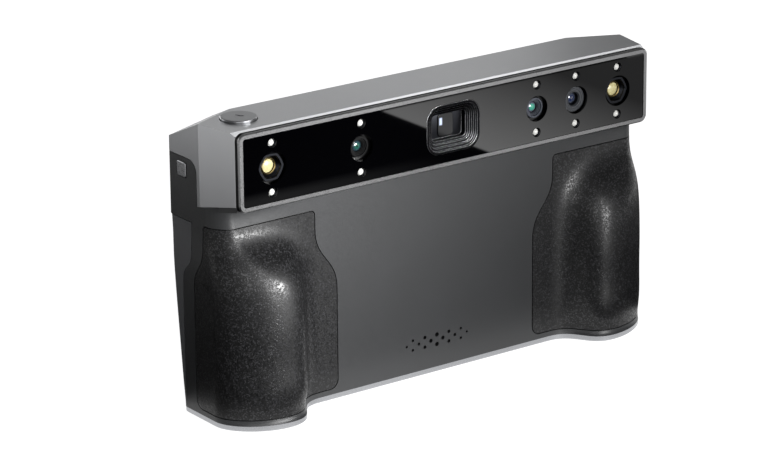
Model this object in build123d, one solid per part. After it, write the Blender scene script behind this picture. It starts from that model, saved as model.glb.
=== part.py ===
from build123d import *
import os

# A hand-held three-d scanner: metal optics head, two-grip body, flip-up rear screen.
# Millimetres, +Z up, front towards -Y, origin in the middle of the underside.

# Overall size
WIDTH = 204.0
DEPTH = 47.8
HEAD_TOP = 117.2
GRIP_REACH = 5.2

# Clearances and cut allowance
OVERRUN = 6.0
SEAM = 0.3
FIT = 0.1
PRESS = 0.02
RUNNING = 0.05

# Stations from front to back
GLASS_Y = GRIP_REACH - DEPTH / 2
BACK_Y = DEPTH / 2
HEAD_SETBACK = 2.5
HEAD_Y = GLASS_Y + HEAD_SETBACK
BODY_SETBACK = 9.5
BODY_Y = GLASS_Y + BODY_SETBACK

# Head housing
GRIP_STAND = 1.0
HEAD_HALF = WIDTH / 2 - GRIP_STAND
END_LEAN = 3.5
HEAD_FRONT_HALF = HEAD_HALF - END_LEAN
HEAD_WALL = 2.0
SHOULDER_RUN = 19.0
SHOULDER_Y = HEAD_Y + SHOULDER_RUN
REAR_LEAN = 3.8
FACET_DROP = 9.6
EAR_W = 20.2
EAR_X = HEAD_HALF - EAR_W
EAVES_FRONT_Z = 88.9
EAVES_BACK_Z = 84.6
ARCH_MARGIN = 1.8
ARCH_Y = SHOULDER_Y + ARCH_MARGIN
ARCH_Z = 102.1
ARCH_R = 5.0
BEVEL_RUN = 2.4
BEVEL_DROP = 1.1
HEAD_EDGE_R = 0.6
CORNER_R = 1.5

# Rear screen
SCREEN_T = 7.5
SCREEN_GAP = 0.5
SCREEN_SIDE_GAP = 1.2
SCREEN_LOW = 9.0
HINGE_Z = 97.0
SCREEN_HALF = EAR_X - SCREEN_SIDE_GAP
CORE_Y = BACK_Y - SCREEN_T - SCREEN_GAP
HEAD_BACK_Y = CORE_Y - REAR_LEAN
HINGE_Y = BACK_Y - SCREEN_T / 2
SCREEN_EDGE_R = 1.2
GLASS_MARGIN_X = 4.0
GLASS_MARGIN_LOW = 2.6
GLASS_MARGIN_TOP = 4.6
TOUCH_T = 1.0
TOUCH_SINK = 0.15
TOUCH_R = 3.0
PANEL_MARGIN = 4.5
PANEL_T = 1.6
DISPLAY_BOARD_T = 1.0
DISPLAY_BOARD_MARGIN = 9.0
SCREEN_WELL_MARGIN = 3.5
SCREEN_WELL_T = 4.6

# Screen hinge
PIN_R = 2.0
PIN_FLANGE_R = 2.4
PIN_FLANGE_T = 1.5
PIN_REACH = 9.5
BUSH_R = 3.0
BUSH_L = 10.0
WASHER_R = 3.6
WASHER_T = 1.0
EAR_WALL = 4.0

# Body below the head
PLATE_T = 2.2
PLATE_EDGE = 0.5
FLOOR_T = 2.0
SEAM_Z = 77.2
FRONT_WALL = 3.0
SIDE_WALL = 3.0
REAR_WALL = 2.2
BACK_LOW_IN = 7.6
BODY_TOP = 92.0
REAR_CORNER_R = 2.5
LIP_T = 2.2
LIP_INSET = 0.4
PARTING_LOW_IN = 2.0
PARTING_HIGH_IN = 7.3
PARTING_LOW_Z = 54.0
PARTING_HIGH_Z = 64.5

# Grip bulge: plan sizes at its fullest, and at the waist where it has faded out
RIDGE_IN = 24.0
RIDGE_X = WIDTH / 2 - RIDGE_IN
RIDGE_WAIST_IN = 8.0
RIDGE_WAIST_X = WIDTH / 2 - RIDGE_WAIST_IN
RIDGE_RISE = BODY_SETBACK + GRIP_REACH
FOOT_IN = 46.0
FOOT_X = WIDTH / 2 - FOOT_IN
GRIP_SIDE_RUN = 3.5
WAIST_CORNER_RUN = 9.0
OUTER_ROUND_SHARE = 0.5
RIDGE_ROUND_SHARE = 0.6
FOOT_RUN_SHARE = 0.6
FLANK_SHIFT_SHARE = 0.5

# Height of each grip section as a share of the body, and how full the bulge is there
GRIP_SHARES = [
    (0.0, 0.97),
    (0.10, 1.0),
    (0.25, 1.0),
    (0.375, 0.995),
    (0.475, 0.965),
    (0.56, 0.905),
    (0.625, 0.80),
    (0.675, 0.63),
    (0.72, 0.40),
    (0.755, 0.215),
    (0.79, 0.09),
    (0.825, 0.03),
    (0.86, 0.006),
    (0.90, 0.0),
    (1.0, 0.0),
]

# Rubber grip pads
PAD_T = 1.2
PAD_LOW = 4.6
PAD_HIGH = 77.8
PAD_TOP_W = 44.4
PAD_TOP_X = WIDTH / 2 - PAD_TOP_W
PAD_LOW_W = 54.3
PAD_LOW_X = WIDTH / 2 - PAD_LOW_W
PAD_BEND_HIGH_Z = 70.5
PAD_BEND_LOW_Z = 45.0
PAD_SIDE_TOP_IN = 7.7
PAD_SIDE_LOW_IN = 7.5
PAD_SIDE_HIGH_Z = 68.0
PAD_SIDE_LOW_Z = 53.0
PAD_TOP_R = 1.5
PAD_LOW_R = 3.5
PAD_GROOVE = 0.4
BEND_SHARE = 0.5

# Optics rim, bezel and glass
BEZEL_H = 30.4
BEZEL_R = 3.0
OPTIC_Z = HEAD_TOP - BEZEL_H / 2
TRIM_T = 0.9
TRIM_W = 1.9
TRIM_BEVEL = 0.5
GLASS_SINK = 0.25
GLASS_T = 1.5
LEDGE_W = 1.6
NECK_INSET = 2.6
NECK_LOW_INSET = 2.6
NECK_L = 3.0

# Cameras, lights and projector
LIGHT_DROP = 9.6
OUTER_IN = 15.1
OUTER_X = HEAD_FRONT_HALF - OUTER_IN
COLOUR_STEP = 20.9
COLOUR_X = OUTER_X - COLOUR_STEP
NEAR_STEP = 19.6
NEAR_X = COLOUR_X - NEAR_STEP
LIGHT_HOLE_R = 1.9
LIGHT_BASE_R = 1.6
LIGHT_R = 1.25
LIGHT_CROWN = 0.7
LIGHT_RECESS = 0.5
LIGHT_BASE_T = 0.6
BOARD_T = 1.0
LIGHT_BOARD_GAP = 1.4
BARREL_GAP = 0.25
CONE_L = 1.5
LENS_SEAT = 2.0
LENS_CROWN = 0.7
BARREL_L = 7.0
BLOCK_L = 11.0
BLOCK_W = 14.0
OUTER_HOLE_R = 6.2
OUTER_RING_R = 5.6
OUTER_BORE_R = 4.4
OUTER_LENS_R = 2.65
NEAR_HOLE_R = 5.2
NEAR_RING_R = 4.1
NEAR_BORE_R = 3.5
NEAR_LENS_R = 2.2
COLOUR_HOLE_R = 5.6
COLOUR_RING_R = 5.0
COLOUR_BORE_R = 3.0
COLOUR_LENS_R = 2.3
PROJECTOR_X = 1.2
PROJECTOR_W = 25.2
PROJECTOR_H = 19.6
PROJECTOR_R = 6.0
HOOD_L = 6.4
HOOD_STEP_W = 1.15
HOOD_STEP_L = 1.0
HOOD_STEPS = 3
HOOD_FLOOR_T = 0.9
PROJECTOR_LENS_W = 7.4
PROJECTOR_LENS_H = 9.2
PROJECTOR_LENS_R = 1.4
PROJECTOR_LENS_PROUD = 0.5
PROJECTOR_LENS_SEAT = 2.0
PROJECTOR_BODY_W = 28.0
PROJECTOR_BODY_H = 21.0
BRACKET_T = 2.0
BRACKET_H = 16.0
BRACKET_IN = 5.5
BRACKET_END_X = HEAD_FRONT_HALF - BRACKET_IN

# Scan button on the head
SCAN_IN = 16.0
SCAN_X = HEAD_HALF - SCAN_IN
SCAN_OFFSET = 1.65
SCAN_R = 7.0
SCAN_RISE = 1.0
SCAN_GAP = 0.25
SCAN_EDGE_R = 0.45
SCAN_TRAVEL = 0.8
FLANGE_W = 1.0
FLANGE_T = 1.0
STEM_R = 2.0
STEM_L = 0.3
SWITCH_W = 6.0
SWITCH_T = 1.2
SWITCH_SLACK = 0.1
SWITCH_BOARD_W = 8.0
PILLAR_OFFSET = 10.0
PILLAR_R = 1.6
MARK_R = 2.3
MARK_DEPTH = 0.2

# Power button on the left end
POWER_Z = 97.1
POWER_W = 5.8
POWER_R = 0.8
POWER_RISE = 0.5
POWER_GAP = 0.2
POWER_EDGE_R = 0.3
POWER_TRAVEL = 0.6
POWER_FLANGE_W = 7.2
POWER_FLANGE_H = 5.4
POWER_SWITCH_W = 5.0
POWER_SWITCH_T = 3.0
POWER_BOARD_H = 8.0
EAR_SIDE_WALL = 2.5
EAR_TOP_WALL = 1.2
EAR_FRONT_WALL = 1.6
EAR_BACK_WALL = 1.0

# Charging socket on the right end
SOCKET_Z = 87.0
SOCKET_W = 9.0
SOCKET_H = 3.3
SOCKET_L = 7.3
SOCKET_SINK = 0.4
SOCKET_SKIN = 0.35
SOCKET_FLOOR = 1.0
TONGUE_SINK = 1.0
TONGUE_W = 6.6
TONGUE_T = 0.7
SOCKET_BOARD_GAP = 0.7

# Inside the body
FRAME_T = 1.5
FRAME_HIGH = 74.0
MAIN_SIDE_GAP = 12.0
MAIN_LOW_GAP = 2.0
MAIN_HIGH = 70.0
MAIN_T = 1.6
MAIN_BACK_GAP = 0.8
STANDOFF_L = 4.5
STANDOFF_R = 2.5
STANDOFF_INSET = 5.0
BATTERY_HALF = 48.0
BATTERY_LOW = 24.0
BATTERY_HIGH = 74.0
BATTERY_SLACK = 1.0
BATTERY_R = 2.0
PROCESSOR_W = 20.0
PROCESSOR_T = 1.8
SPREADER_W = 60.0
SPREADER_H = 40.0
SPEAKER_W = 36.0
SPEAKER_H = 11.0
SPEAKER_GAP = 1.0
SPEAKER_T = 6.0
SPEAKER_R = 2.0
MESH_T = 0.3
HOLE_Z = 13.5
HOLE_PITCH = 2.93
HOLE_ROW = 2.0
HOLE_COLUMNS = 5
HOLE_MID_R = 0.9
HOLE_END_R = 0.5

# Fixings
TRIPOD_IN = 16.6
TRIPOD_R = 3.2
TRIPOD_BUSH_R = 4.4
TRIPOD_FLANGE_R = 5.2
TRIPOD_FLANGE_T = 1.5
TRIPOD_L = 7.5
TRIPOD_SINK = 0.2
SCREW_R = 1.25
SCREW_HEAD_R = 2.4
SCREW_HEAD_T = 1.0
SCREW_SINK = 0.2
SCREW_L = 6.5
SCREW_BOSS_R = 3.0
SCREW_SOCKET_R = 0.9
SCREW_SOCKET_T = 0.6
BOTTOM_SCREW_INNER_X = 36.0
BOTTOM_SCREW_IN = 18.0
BOTTOM_SCREW_OUTER_X = WIDTH / 2 - BOTTOM_SCREW_IN
BOTTOM_SCREW_RUN = 21.0
REAR_SCREW_IN = 28.0
REAR_SCREW_LOW_IN = 6.0
REAR_SCREW_HIGH_IN = 8.0

# Derived faces used by several parts
GLASS_FRONT_Y = GLASS_Y + GLASS_SINK
GLASS_BACK_Y = GLASS_FRONT_Y + GLASS_T
LIGHT_BOARD_Y = GLASS_BACK_Y + LIGHT_BOARD_GAP
BARREL_Y = GLASS_BACK_Y + BARREL_GAP
BLOCK_Y = BARREL_Y + BARREL_L
BRACKET_Y = BLOCK_Y + BLOCK_L
HOOD_Y = GLASS_FRONT_Y
PROJECTOR_Y = HOOD_Y + HOOD_L
NECK_END_Y = HEAD_Y + NECK_L
FRONT_INNER_Y = BODY_Y + FRONT_WALL
CAVITY_HALF = HEAD_HALF - SIDE_WALL
FLOOR_TOP = PLATE_T + FLOOR_T
MAIN_Y = CORE_Y - REAR_WALL - MAIN_BACK_GAP - MAIN_T
FRAME_BACK_Y = MAIN_Y - STANDOFF_L
FRAME_Y = FRAME_BACK_Y - FRAME_T
FRAME_LOW = HOLE_Z + SPEAKER_H / 2 + SPEAKER_GAP
REAR_SCREW_X = CAVITY_HALF - REAR_SCREW_IN
REAR_SCREW_LOW = FRAME_LOW + REAR_SCREW_LOW_IN
REAR_SCREW_HIGH = FRAME_HIGH - REAR_SCREW_HIGH_IN
MAIN_HALF = REAR_SCREW_X - MAIN_SIDE_GAP
MAIN_LOW = FRAME_LOW + MAIN_LOW_GAP
BATTERY_Y = FRONT_INNER_Y + FIT
EAR_CAVITY_Y = ARCH_Y + EAR_FRONT_WALL
EAR_CAVITY_BACK_Y = BACK_Y - EAR_BACK_WALL
EAR_CAVITY_LOW = SEAM_Z + SEAM + REAR_WALL
EAR_CAVITY_TOP = ARCH_Z - SEAM - EAR_TOP_WALL
EAR_CAVITY_X = EAR_X + EAR_WALL
EAR_CAVITY_HALF = HEAD_HALF - EAR_SIDE_WALL
SCAN_Y = (HEAD_Y + HEAD_BACK_Y) / 2 + SCAN_OFFSET
POWER_Y = (ARCH_Y + BACK_Y) / 2
TRIPOD_Y = BACK_Y - TRIPOD_IN
BOTTOM_SCREW_Y = GLASS_Y + BOTTOM_SCREW_RUN
PARTING_LOW_Y = CORE_Y - PARTING_LOW_IN
PARTING_HIGH_Y = CORE_Y - PARTING_HIGH_IN


# Shape helpers

def box(x0, x1, y0, y1, z0, z1):
    """A block between two corners."""
    block = Box(x1 - x0, y1 - y0, z1 - z0)
    return Pos((x0 + x1) / 2, (y0 + y1) / 2, (z0 + z1) / 2) * block


def prism_x(yz, x0, x1):
    """A side profile carried along the width."""
    face = make_face(Polyline(*[(x0, y, z) for y, z in yz], close=True))
    return extrude(face, x1 - x0, dir=(1, 0, 0))


def prism_z(xy, z0, z1):
    """A plan outline carried upwards."""
    face = make_face(Polyline(*[(x, y, z0) for x, y in xy], close=True))
    return extrude(face, z1 - z0, dir=(0, 0, 1))


def plate_y(sketch, x, z, y0, y1):
    """A front-view sketch carried from y0 back to y1."""
    plane = Plane((x, y0, z), x_dir=(1, 0, 0), z_dir=(0, 1, 0))
    return extrude(plane * sketch, y1 - y0)


def plate_x(sketch, y, z, x0, x1):
    """A side-view sketch carried from x0 to x1."""
    plane = Plane((x0, y, z), x_dir=(0, 1, 0), z_dir=(1, 0, 0))
    return extrude(plane * sketch, x1 - x0)


def disc_z(radius, x, y, z0, z1):
    """An upright cylinder between two heights."""
    return extrude(Pos(x, y, z0) * Circle(radius), z1 - z0)


def turned_y(x, z, profile):
    """A turned part about a front-to-back axis; profile is (radius, y)."""
    face = make_face(Polyline(*[(x + r, y, z) for r, y in profile], close=True))
    return revolve(face, Axis((x, 0, z), (0, 1, 0)))


def turned_z(x, y, profile):
    """A turned part about an upright axis; profile is (radius, z)."""
    face = make_face(Polyline(*[(x + r, y, z) for r, z in profile], close=True))
    return revolve(face, Axis((x, y, 0), (0, 0, 1)))


def domed_y(x, z, radius, crown, y0, y1):
    """A round rod from y0 back to y1 with a ball-shaped front."""
    ball = (radius * radius + crown * crown) / (2 * crown)
    rod = plate_y(Circle(radius), x, z, y0, y1)
    return rod & (Pos(x, y0 + ball, z) * Sphere(ball))


def both_sides(right):
    """Right-hand plan points closed with their mirror image."""
    return right + [(-x, y) for x, y in reversed(right)]


def mirrored(part):
    """The left-hand twin of a right-hand part."""
    return mirror(part, about=Plane.YZ)


def one(part):
    """The single solid of a part."""
    return part.solids()[0]


# Body form shared by the shells, the pads and the bottom plate

def back_at(z):
    """Rear face of the body, leaning forward towards the bottom."""
    low = BACK_Y - BACK_LOW_IN
    return low + BACK_LOW_IN * (z - PLATE_T) / (SEAM_Z - PLATE_T)


def body_outline(z, bulge, inset):
    """Plan section of the body at one height, with the bulge given as a share."""
    side = HEAD_HALF + bulge * (WIDTH / 2 - HEAD_HALF) - inset
    front = BODY_Y + inset
    shift = FLANK_SHIFT_SHARE * inset
    foot_x = FOOT_X + shift
    ridge_x = RIDGE_WAIST_X + bulge * (RIDGE_X - RIDGE_WAIST_X) + shift
    ridge_y = front - bulge * RIDGE_RISE
    start_y = front + WAIST_CORNER_RUN + bulge * (GRIP_SIDE_RUN - WAIST_CORNER_RUN)
    back = back_at(z)
    corner = REAR_CORNER_R
    outer = OUTER_ROUND_SHARE
    flank = ridge_x - foot_x
    ridge_in = RIDGE_ROUND_SHARE * flank
    foot_in = FOOT_RUN_SHARE * flank
    right = [
        Bezier(
            (side, start_y, z),
            (side, start_y + outer * (ridge_y - start_y), z),
            (ridge_x + outer * (side - ridge_x), ridge_y, z),
            (ridge_x, ridge_y, z),
        ),
        Bezier(
            (ridge_x, ridge_y, z),
            (ridge_x - ridge_in, ridge_y, z),
            (foot_x + foot_in, front, z),
            (foot_x, front, z),
        ),
    ]
    left = [
        Bezier(
            (-foot_x, front, z),
            (-foot_x - foot_in, front, z),
            (-ridge_x + ridge_in, ridge_y, z),
            (-ridge_x, ridge_y, z),
        ),
        Bezier(
            (-ridge_x, ridge_y, z),
            (-ridge_x - outer * (side - ridge_x), ridge_y, z),
            (-side, start_y + outer * (ridge_y - start_y), z),
            (-side, start_y, z),
        ),
    ]
    rear = [
        Line((-side, start_y, z), (-side, back - corner, z)),
        RadiusArc((-side, back - corner, z), (-side + corner, back, z), corner),
        Line((-side + corner, back, z), (side - corner, back, z)),
        RadiusArc((side - corner, back, z), (side, back - corner, z), corner),
        Line((side, back - corner, z), (side, start_y, z)),
    ]
    middle = [Line((foot_x, front, z), (-foot_x, front, z))]
    return make_face(right + middle + left + rear)


def body_form(inset):
    """The whole outer form of the body, or the same form set in from it."""
    sections = []
    for height_share, bulge_share in GRIP_SHARES:
        z = PLATE_T + height_share * (BODY_TOP - PLATE_T)
        sections.append(body_outline(z, bulge_share, inset))
    return loft(sections)


def bend(a, b):
    """An S-bend between two points that leaves and arrives upright."""
    (u0, z0), (u1, z1) = a, b
    lean = BEND_SHARE * (z1 - z0)
    return [(u0, z0), (u0, z0 + lean), (u1, z1 - lean), (u1, z1)]


def parting_rear(gap):
    """Everything behind the S-shaped joint line between the two shells."""
    x = -WIDTH
    low_y = PARTING_LOW_Y + gap
    high_y = PARTING_HIGH_Y + gap
    far = BACK_Y + DEPTH
    curve = bend((low_y, PARTING_LOW_Z), (high_y, PARTING_HIGH_Z))
    edges = [
        Line((x, low_y, -OVERRUN), (x, low_y, PARTING_LOW_Z)),
        Bezier(*[(x, y, z) for y, z in curve]),
        Polyline(
            (x, high_y, PARTING_HIGH_Z),
            (x, high_y, BODY_TOP + OVERRUN),
            (x, far, BODY_TOP + OVERRUN),
            (x, far, -OVERRUN),
            (x, low_y, -OVERRUN),
        ),
    ]
    return extrude(make_face(edges), WIDTH + WIDTH, dir=(1, 0, 0))


def pad_region(grow):
    """Where the right-hand pad lies: its front outline crossed with its side outline."""
    y = -DEPTH
    far_x = WIDTH
    top = PAD_HIGH + grow
    low = PAD_LOW - grow
    top_x = PAD_TOP_X - grow
    low_x = PAD_LOW_X - grow
    top_r = PAD_TOP_R + grow
    low_r = PAD_LOW_R + grow
    curve = bend((low_x, PAD_BEND_LOW_Z), (top_x, PAD_BEND_HIGH_Z))
    front_edges = [
        Line((low_x, y, low + low_r), (low_x, y, PAD_BEND_LOW_Z)),
        Bezier(*[(x, y, z) for x, z in curve]),
        Line((top_x, y, PAD_BEND_HIGH_Z), (top_x, y, top - top_r)),
        ThreePointArc(*corner_arc((top_x, top), top_r, 1, -1, y)),
        Polyline(
            (top_x + top_r, y, top),
            (far_x, y, top),
            (far_x, y, low),
            (low_x + low_r, y, low),
        ),
        ThreePointArc(*corner_arc((low_x, low), low_r, 1, 1, y)),
    ]
    front = extrude(make_face(front_edges), DEPTH + DEPTH, dir=(0, 1, 0))
    side_top = PARTING_HIGH_Y - PAD_SIDE_TOP_IN + grow
    side_low = PARTING_LOW_Y - PAD_SIDE_LOW_IN + grow
    near = -DEPTH
    curve = bend((side_low, PAD_SIDE_LOW_Z), (side_top, PAD_SIDE_HIGH_Z))
    side_edges = [
        Line((0, side_low, low + low_r), (0, side_low, PAD_SIDE_LOW_Z)),
        Bezier(*[(0, v, z) for v, z in curve]),
        Line((0, side_top, PAD_SIDE_HIGH_Z), (0, side_top, top - top_r)),
        ThreePointArc(*side_arc((side_top, top), top_r, -1)),
        Polyline(
            (0, side_top - top_r, top),
            (0, near, top),
            (0, near, low),
            (0, side_low - low_r, low),
        ),
        ThreePointArc(*side_arc((side_low, low), low_r, 1)),
    ]
    side = extrude(make_face(side_edges), far_x, dir=(1, 0, 0))
    return front & side


def corner_arc(corner, radius, step_x, step_z, y):
    """Three points of a rounded corner seen from the front."""
    x, z = corner
    slack = radius * (1 - 2 ** -0.5)
    return [
        (x, y, z + step_z * radius),
        (x + step_x * slack, y, z + step_z * slack),
        (x + step_x * radius, y, z),
    ]


def side_arc(corner, radius, step_z):
    """Three points of a rounded rear corner seen from the side."""
    v, z = corner
    slack = radius * (1 - 2 ** -0.5)
    return [
        (0, v, z + step_z * radius),
        (0, v - slack, z + step_z * slack),
        (0, v - radius, z),
    ]


# Metal head

def eaves_at(y):
    """Lower edge of the metal head, falling towards the back."""
    slope = (EAVES_BACK_Z - EAVES_FRONT_Z) / (ARCH_Y - HEAD_Y)
    return EAVES_FRONT_Z + slope * (y - HEAD_Y)


def head_plan(inset, front):
    """Plan of the head with its angled ends."""
    lean = (HEAD_HALF - HEAD_FRONT_HALF) / SHOULDER_RUN
    return both_sides([
        (HEAD_FRONT_HALF + lean * (front - HEAD_Y) - inset, front),
        (HEAD_HALF - inset, SHOULDER_Y),
        (HEAD_HALF - inset, BACK_Y - inset),
    ])


def facet_cut(inset):
    """The sloped rear corner facet, as the space above it."""
    shoulder = Vector(HEAD_HALF, SHOULDER_Y, HEAD_TOP)
    rear = Vector(HEAD_HALF, BACK_Y, HEAD_TOP - FACET_DROP)
    inner = Vector(EAR_X, HEAD_BACK_Y, HEAD_TOP)
    normal = (rear - shoulder).cross(inner - shoulder)
    plane = Plane(shoulder, x_dir=inner - shoulder, z_dir=normal).offset(-inset)
    block = Box(WIDTH, WIDTH, DEPTH, align=(Align.CENTER, Align.CENTER, Align.MIN))
    return plane * block


def ear_gap(inset, low):
    """The space between the two rear ears, behind the sloped rear wall."""
    return prism_x([
        (HEAD_BACK_Y - inset, HEAD_TOP),
        (HEAD_BACK_Y - inset, HEAD_TOP + OVERRUN),
        (BACK_Y + OVERRUN, HEAD_TOP + OVERRUN),
        (BACK_Y + OVERRUN, low),
        (CORE_Y - inset, low),
        (CORE_Y - inset, ARCH_Z),
    ], -EAR_X - inset, EAR_X + inset)


def head_block(inset, front):
    """The head as a solid block, or its hollow when set in."""
    low = EAVES_BACK_Z - OVERRUN
    block = prism_z(head_plan(inset, front), low, HEAD_TOP - inset)
    facet = facet_cut(inset)
    block = block - facet - mirrored(facet)
    return block - ear_gap(inset, low - OVERRUN)


def arch_prism(inset, half):
    """The rounded opening in the head's ends that the black shell shows through."""
    length = BACK_Y + OVERRUN + ARCH_R - ARCH_Y
    height = ARCH_Z - EAVES_BACK_Z + OVERRUN + OVERRUN
    shape = RectangleRounded(length - 2 * inset, height - 2 * inset, ARCH_R - inset)
    return plate_x(shape, ARCH_Y + length / 2, ARCH_Z - height / 2, -half, half)


def head_housing():
    """Satin metal cap of the head."""
    block = head_block(0, HEAD_Y)
    bevel = prism_x([
        (HEAD_Y - OVERRUN, HEAD_TOP - BEVEL_DROP - OVERRUN * BEVEL_DROP / BEVEL_RUN),
        (HEAD_Y + BEVEL_RUN + OVERRUN, HEAD_TOP + OVERRUN * BEVEL_DROP / BEVEL_RUN),
        (HEAD_Y - OVERRUN, HEAD_TOP + OVERRUN * BEVEL_DROP / BEVEL_RUN),
    ], -WIDTH, WIDTH)
    block = block - bevel
    ends = block.edges().filter_by(Axis.Z).filter_by(lambda e: abs(e.center().X) > EAR_X + FIT)
    block = fillet(ends.filter_by(lambda e: e.center().Y > SHOULDER_Y + FIT), CORNER_R)
    ends = block.edges().filter_by(Axis.Z).filter_by(lambda e: abs(e.center().X) > EAR_X + FIT)
    block = fillet(ends.filter_by(lambda e: e.center().Y < SHOULDER_Y + FIT), HEAD_EDGE_R)
    low = EAVES_BACK_Z - OVERRUN - OVERRUN
    below = prism_x([
        (HEAD_Y - OVERRUN, eaves_at(HEAD_Y - OVERRUN)),
        (BACK_Y + OVERRUN, eaves_at(BACK_Y + OVERRUN)),
        (BACK_Y + OVERRUN, low),
        (HEAD_Y - OVERRUN, low),
    ], -WIDTH, WIDTH)
    cap = block - below - arch_prism(0, WIDTH)
    cap = cap - head_block(HEAD_WALL, HEAD_Y - OVERRUN)
    hole_low = HEAD_TOP - HEAD_WALL - OVERRUN
    cap = cap - disc_z(SCAN_R + SCAN_GAP, -SCAN_X, SCAN_Y, hole_low, HEAD_TOP + OVERRUN)
    pillar_low = scan_board_top()
    for step in (-PILLAR_OFFSET, PILLAR_OFFSET):
        cap = cap + disc_z(PILLAR_R, -SCAN_X + step, SCAN_Y, pillar_low, HEAD_TOP - HEAD_WALL)
    return cap


# Front shell with grips

def shell_ears():
    """Black ends of the head behind the metal, with the screen hinge walls."""
    block = box(-HEAD_HALF, HEAD_HALF, ARCH_Y, BACK_Y, SEAM_Z + SEAM, ARCH_Z)
    edges = block.edges().filter_by(Axis.Z).filter_by(lambda e: e.center().Y > CORE_Y)
    block = fillet(edges, CORNER_R)
    block = block & arch_prism(SEAM, WIDTH)
    return block - ear_gap(0, SEAM_Z - OVERRUN)


def shell_lip():
    """Closed underside of the head, in front of the waist."""
    plan = both_sides([
        (HEAD_FRONT_HALF - LIP_INSET, HEAD_Y + FIT),
        (HEAD_HALF - LIP_INSET, SHOULDER_Y),
        (HEAD_HALF - LIP_INSET, ARCH_Y + OVERRUN),
    ])
    slab = prism_z(plan, EAVES_BACK_Z - OVERRUN - OVERRUN, HEAD_TOP)
    near = HEAD_Y - OVERRUN
    far = ARCH_Y + OVERRUN + OVERRUN
    band = prism_x([
        (near, eaves_at(near) - FIT),
        (far, eaves_at(far) - FIT),
        (far, eaves_at(far) - LIP_T),
        (near, eaves_at(near) - LIP_T),
    ], -WIDTH, WIDTH)
    return slab & band


def speaker_holes():
    """Round sound holes, a single and a pair by turns, smaller towards the ends."""
    holes = []
    for column in range(-HOLE_COLUMNS, HOLE_COLUMNS + 1):
        end_share = abs(column) / HOLE_COLUMNS
        radius = HOLE_MID_R + end_share * (HOLE_END_R - HOLE_MID_R)
        rows = (0,) if (column + HOLE_COLUMNS) % 2 == 0 else (-HOLE_ROW, HOLE_ROW)
        for row in rows:
            x = column * HOLE_PITCH
            z = HOLE_Z + row
            holes.append(plate_y(Circle(radius), x, z, BODY_Y - OVERRUN, FRONT_INNER_Y + FIT))
    return holes


def bottom_screw_spots():
    """Plan positions of the screws through the bottom plate."""
    spots = []
    for x in (BOTTOM_SCREW_INNER_X, BOTTOM_SCREW_OUTER_X):
        spots += [(x, BOTTOM_SCREW_Y), (-x, BOTTOM_SCREW_Y)]
    return spots


def front_shell(form, core):
    """Black front shell: grips, waist, head underside and ends."""
    above = prism_x([
        (-DEPTH, eaves_at(-DEPTH) - FIT),
        (DEPTH, eaves_at(DEPTH) - FIT),
        (DEPTH, BODY_TOP + DEPTH),
        (-DEPTH, BODY_TOP + DEPTH),
    ], -WIDTH, WIDTH)
    shell = form - parting_rear(0) - above
    shell = shell + shell_ears() + shell_lip()
    region = pad_region(PAD_GROOVE)
    for recess in (region, mirrored(region)):
        shell = shell - (recess - core)
    shell = shell - box(-CAVITY_HALF, CAVITY_HALF, FRONT_INNER_Y, BACK_Y + OVERRUN,
                        FLOOR_TOP, SEAM_Z + SEAM)
    shell = shell - box(-CAVITY_HALF, CAVITY_HALF, FRONT_INNER_Y, EAR_CAVITY_Y,
                        FLOOR_TOP, EAR_CAVITY_TOP)
    shell = shell - box(-EAR_X + REAR_WALL, EAR_X - REAR_WALL, FRONT_INNER_Y, CORE_Y - REAR_WALL,
                        SEAM_Z, ARCH_Z + OVERRUN)
    for side in (-1, 1):
        x0, x1 = sorted((side * EAR_CAVITY_X, side * EAR_CAVITY_HALF))
        shell = shell - box(x0, x1, FRONT_INNER_Y, EAR_CAVITY_BACK_Y, EAR_CAVITY_LOW, EAR_CAVITY_TOP)
    pin_end = EAR_CAVITY_X + FIT
    shell = shell - plate_x(Circle(PIN_R + PRESS), HINGE_Y, HINGE_Z, -pin_end, pin_end)
    power = RectangleRounded(POWER_W + 2 * POWER_GAP, POWER_W + 2 * POWER_GAP, POWER_R + POWER_GAP)
    shell = shell - plate_x(power, POWER_Y, POWER_Z, -WIDTH, -EAR_CAVITY_HALF + FIT)
    socket = RectangleRounded(SOCKET_W + 2 * FIT, SOCKET_H + 2 * FIT, SOCKET_H / 2)
    shell = shell - plate_x(socket, POWER_Y, SOCKET_Z, EAR_CAVITY_HALF - FIT, WIDTH)
    for hole in speaker_holes():
        shell = shell - hole
    boss_top = SCREW_SINK + SCREW_L + FLOOR_T
    for x, y in bottom_screw_spots():
        shell = shell + disc_z(SCREW_BOSS_R, x, y, PLATE_T, boss_top)
    for x, y in bottom_screw_spots():
        shell = shell - disc_z(SCREW_R + FIT, x, y, 0, SCREW_SINK + SCREW_L + FIT)
    return shell - disc_z(TRIPOD_BUSH_R + FIT, 0, TRIPOD_Y, 0, FLOOR_TOP + FIT)


def grip_pad(form, core):
    """Right-hand textured rubber skin."""
    return (form & pad_region(0)) - core


# Rear shell and bottom plate

def rear_screw_spots():
    """Front-view positions of the screws behind the screen."""
    spots = []
    for z in (REAR_SCREW_LOW, REAR_SCREW_HIGH):
        spots += [(REAR_SCREW_X, z), (-REAR_SCREW_X, z)]
    return spots


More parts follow.
